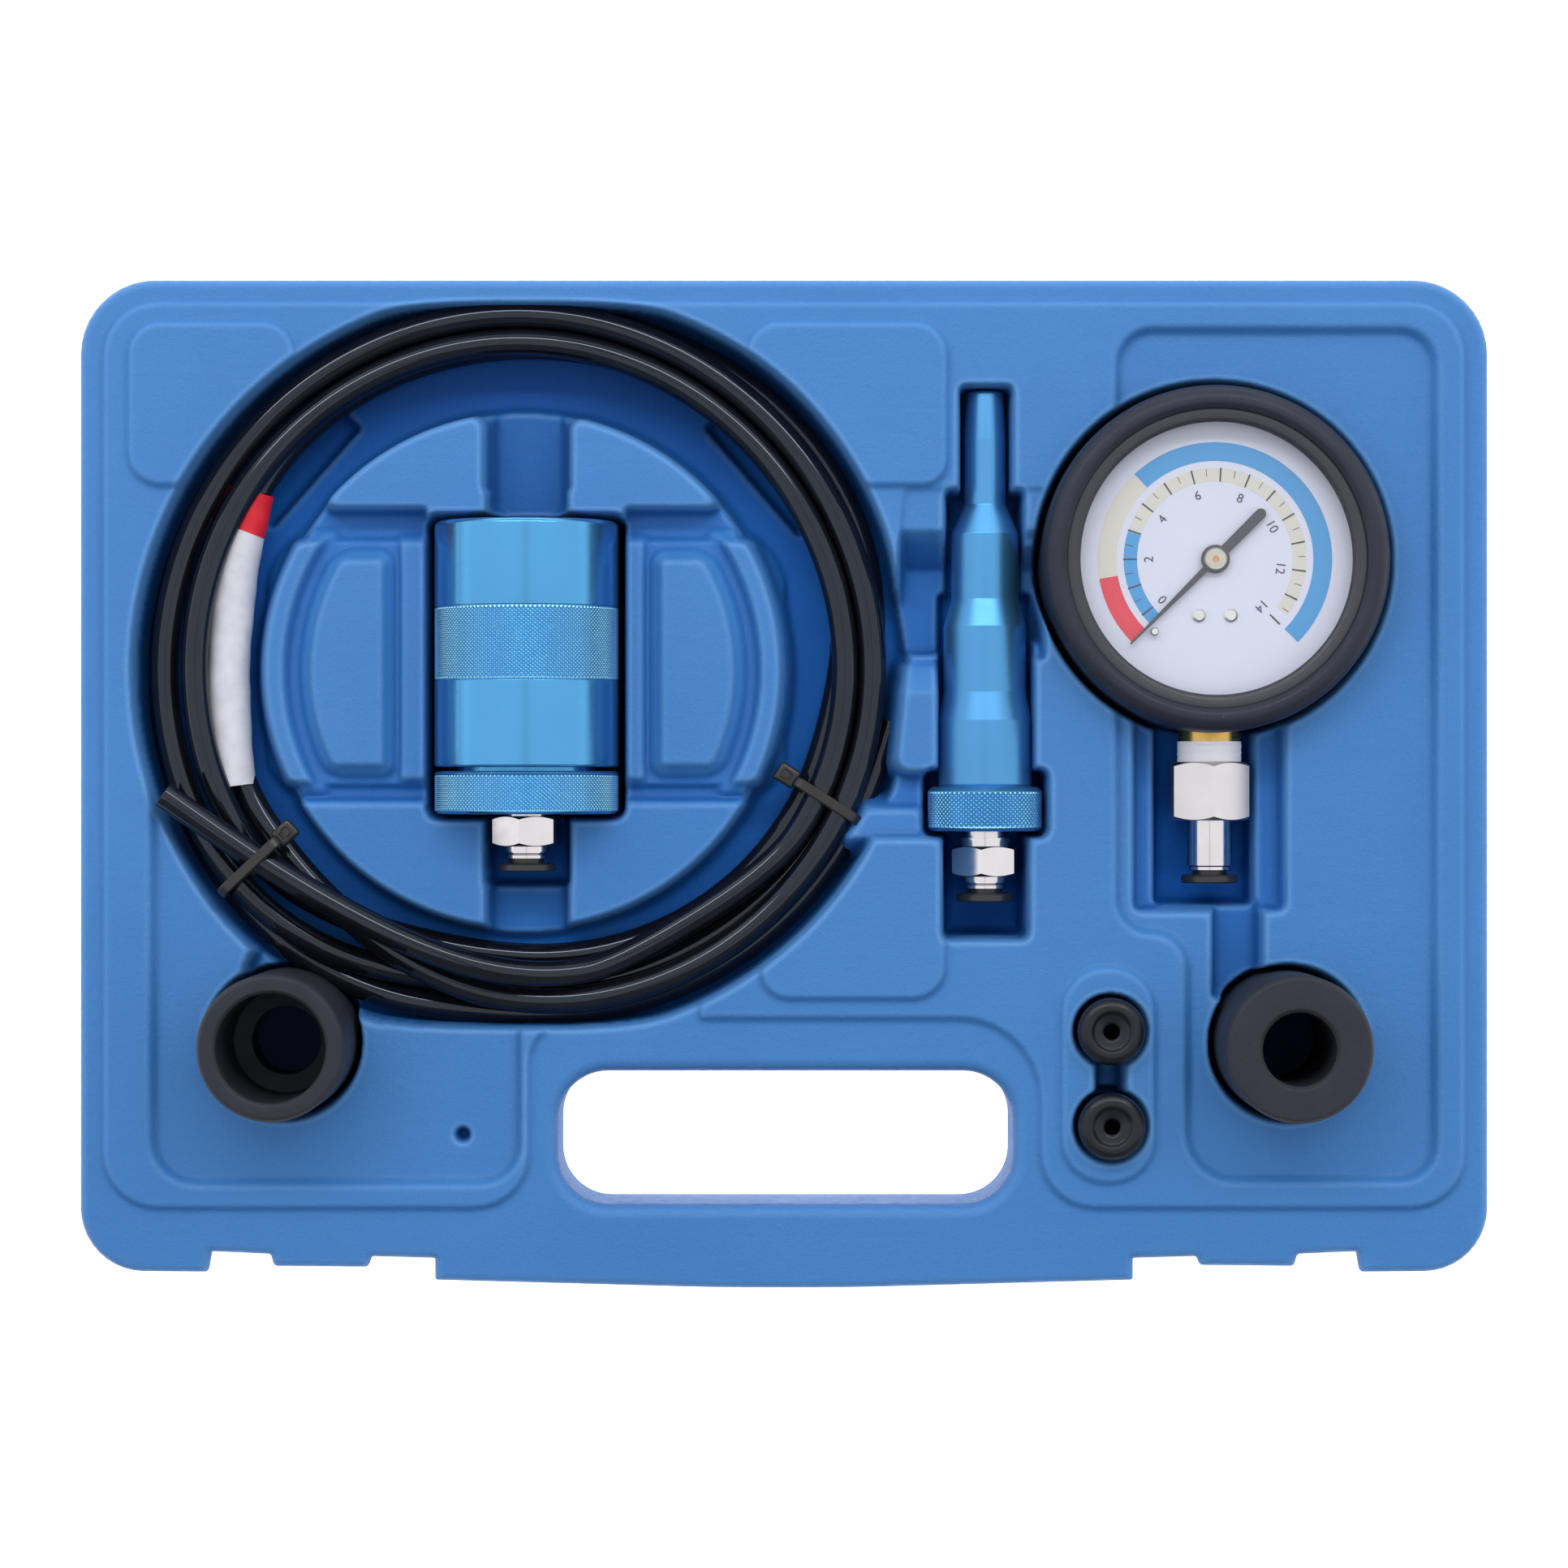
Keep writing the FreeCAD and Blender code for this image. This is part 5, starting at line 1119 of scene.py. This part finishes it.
# -------------------------------------------------------------- paper leaflet
paper = Mat("paper").put(spec=0.3)
ax = paper.axes()
edge = paper.math("ADD", paper.math("MULTIPLY", ax["X"], 0.38), ax["Y"])
head = paper.math("GREATER_THAN", edge, 0.0572 + 0.38 * -0.1223)
paper.color(paper.mix(head, paper.ramp(paper.noise(300, 3), [(0.3, lin(188, 189, 199)), (0.7, lin(202, 203, 211))]),
                      paper.ramp(paper.noise(300, 3), [(0.3, lin(200, 26, 40)), (0.7, lin(212, 34, 48))])))
paper.rough(paper.ramp(paper.noise(400, 3), [(0.3, 0.45), (0.7, 0.6)]))
paper.bump((paper.noise(900, 4), 0.4, 0.00003), (paper.noise(120, 3, 0.6, (1, 0.3, 1)), 0.6, 0.0004))


def leaflet():
    """One sheet rolled once and a bit round a strand of the coil."""
    a, b, c = np.array((-120.2, 66.0)), np.array((-125.6, 27.0)), np.array((-124.2, -0.5))
    ax_, ay_ = a
    bx_, by_ = b
    cx_, cy_ = c
    d = 2 * (ax_ * (by_ - cy_) + bx_ * (cy_ - ay_) + cx_ * (ay_ - by_))
    ux = ((ax_ ** 2 + ay_ ** 2) * (by_ - cy_) + (bx_ ** 2 + by_ ** 2) * (cy_ - ay_) + (cx_ ** 2 + cy_ ** 2) * (ay_ - by_)) / d
    uy = ((ax_ ** 2 + ay_ ** 2) * (cx_ - bx_) + (bx_ ** 2 + by_ ** 2) * (ax_ - cx_) + (cx_ ** 2 + cy_ ** 2) * (bx_ - ax_)) / d
    cen = np.array((ux, uy))
    R = np.linalg.norm(a - cen)
    t0, t1 = math.atan2(*(a - cen)[::-1]), math.atan2(*(c - cen)[::-1])
    if t0 < 0:
        t0 += 2 * math.pi
    if t1 < 0:
        t1 += 2 * math.pi
    n, m = 170, 64
    v, f = [], []
    for i in range(n + 1):
        t = t0 + (t1 - t0) * i / n
        px, py = cen + R * np.array((math.cos(t), math.sin(t)))
        out_x, out_y = math.cos(t), math.sin(t)
        for k in range(m + 1):
            ph = math.radians(250 + 405.0 * k / m)
            rr = 4.75 + 0.42 * k / m + 0.1 * math.sin(i * 0.11 + 2 * ph) + 0.05 * math.sin(i * 0.31 - ph)
            v.append((px + out_x * rr * math.cos(ph), py + out_y * rr * math.cos(ph), 22.3 + rr * math.sin(ph)))
    for i in range(n):
        for k in range(m):
            q = i * (m + 1) + k
            f.append((q, q + 1, q + m + 2, q + m + 1))
    ob = make("leaflet_rolled", v, f, [paper], "hose", None, 0, ("leaflet",))
    return ob


leaflet()

# ------------------------------------------------- materials of the CAD nodes
LOOKS = {
    "gauge_case": case_steel, "stem_block": brass, "bourdon_tube": bronze, "bourdon_tip": brass,
    "movement_bottom_plate": brass, "movement_top_plate": brass, "movement_pillars": brass, "hairspring": bronze,
    "sector_gear": brass, "pinion_arbor": bronze, "link": brass, "dial_plate": dial_white,
    "dial_screws": screw_steel, "stop_pin": screw_steel, "pointer": pointer_black, "pointer_hub": hub_metal,
    "gauge_back_screws": screw_steel, "hex_adapter": nickel, "coupling_sleeve": sleeve_rubber,
    "coupling_thrust_ring": nickel, "coupling_seal_washer": seal_rubber,
}
for p in ("gauge_fitting", "coupling_fitting", "nozzle_fitting"):
    LOOKS[p + "_body"] = chrome
    LOOKS[p + "_oring"] = seal_rubber
    LOOKS[p + "_grip_ring"] = spring_steel
    LOOKS[p + "_collet"] = collet_black
for node, look in LOOKS.items():
    ob = NODES[node]
    ob.data.materials.clear()
    ob.data.materials.append(look.m)

# ------------------------------------------------------------ floor and light
me = bpy.data.meshes.new("floor")
me.from_pydata([(-3, -3, -0.0003), (3, -3, -0.0003), (3, 3, -0.0003), (-3, 3, -0.0003)], [], [(0, 1, 2, 3)])
me.materials.append(floor_mat.m)
floor = bpy.data.objects.new("floor", me)
bpy.context.collection.objects.link(floor)


def area(name, at, size, energy, look=(0, 0, 0.02), color=(1, 1, 1)):
    d = bpy.data.lights.new(name, "AREA")
    d.shape = "RECTANGLE"
    d.size, d.size_y = size
    d.energy = energy
    d.color = color
    ob = bpy.data.objects.new(name, d)
    ob.location = at
    ob.rotation_euler = (Vector(look) - Vector(at)).to_track_quat("-Z", "Y").to_euler()
    bpy.context.collection.objects.link(ob)
    return ob


def panel(name, a, b, y0, y1, radiance, color=(1, 1, 1)):
    """Soft panel along Y whose cross section runs from a to b in (x, z)."""
    w = math.hypot(b[0] - a[0], b[1] - a[1])
    h = y1 - y0
    d = bpy.data.lights.new(name, "AREA")
    d.shape = "RECTANGLE"
    d.size, d.size_y = w, h
    d.energy = math.pi * w * h * radiance
    d.color = color
    ux = Vector(((b[0] - a[0]) / w, 0, (b[1] - a[1]) / w))
    uy = Vector((0, 1, 0))
    n = ux.cross(uy)
    mid = Vector(((a[0] + b[0]) / 2, (y0 + y1) / 2, (a[1] + b[1]) / 2))
    if n.dot(mid) < 0:
        ux = -ux
        n = -n
    ob = bpy.data.objects.new(name, d)
    m = Matrix((ux, uy, n)).transposed().to_4x4()
    m.translation = mid
    ob.matrix_world = m
    bpy.context.collection.objects.link(ob)
    return ob


panel("left_panel", (-0.03, 1.45), (-1.35, 0.34), -0.5, 1.35, 0.95)
panel("right_panel", (0.03, 1.45), (1.35, 0.34), -0.5, 1.35, 0.95)
panel("left_strip", (-1.3, 0.36), (-1.34, 0.1), -0.6, 1.0, 1.1)
panel("right_strip", (1.3, 0.36), (1.34, 0.1), -0.6, 1.0, 1.1)
back = area("back_panel", (0.0, 1.55, 0.62), (2.6, 1.1), math.pi * 2.6 * 1.1 * 0.8)
strip = area("top_strip", (0.0, 0.72, 1.0), (1.6, 0.12), math.pi * 1.6 * 0.12 * 11.0)
world = bpy.data.worlds.new("studio")
bpy.context.scene.world = world
world.use_nodes = True
bg = [n for n in world.node_tree.nodes if n.type == "BACKGROUND"][0]
bg.inputs["Color"].default_value = (0.95, 0.97, 1.0, 1)
bg.inputs["Strength"].default_value = 0.3
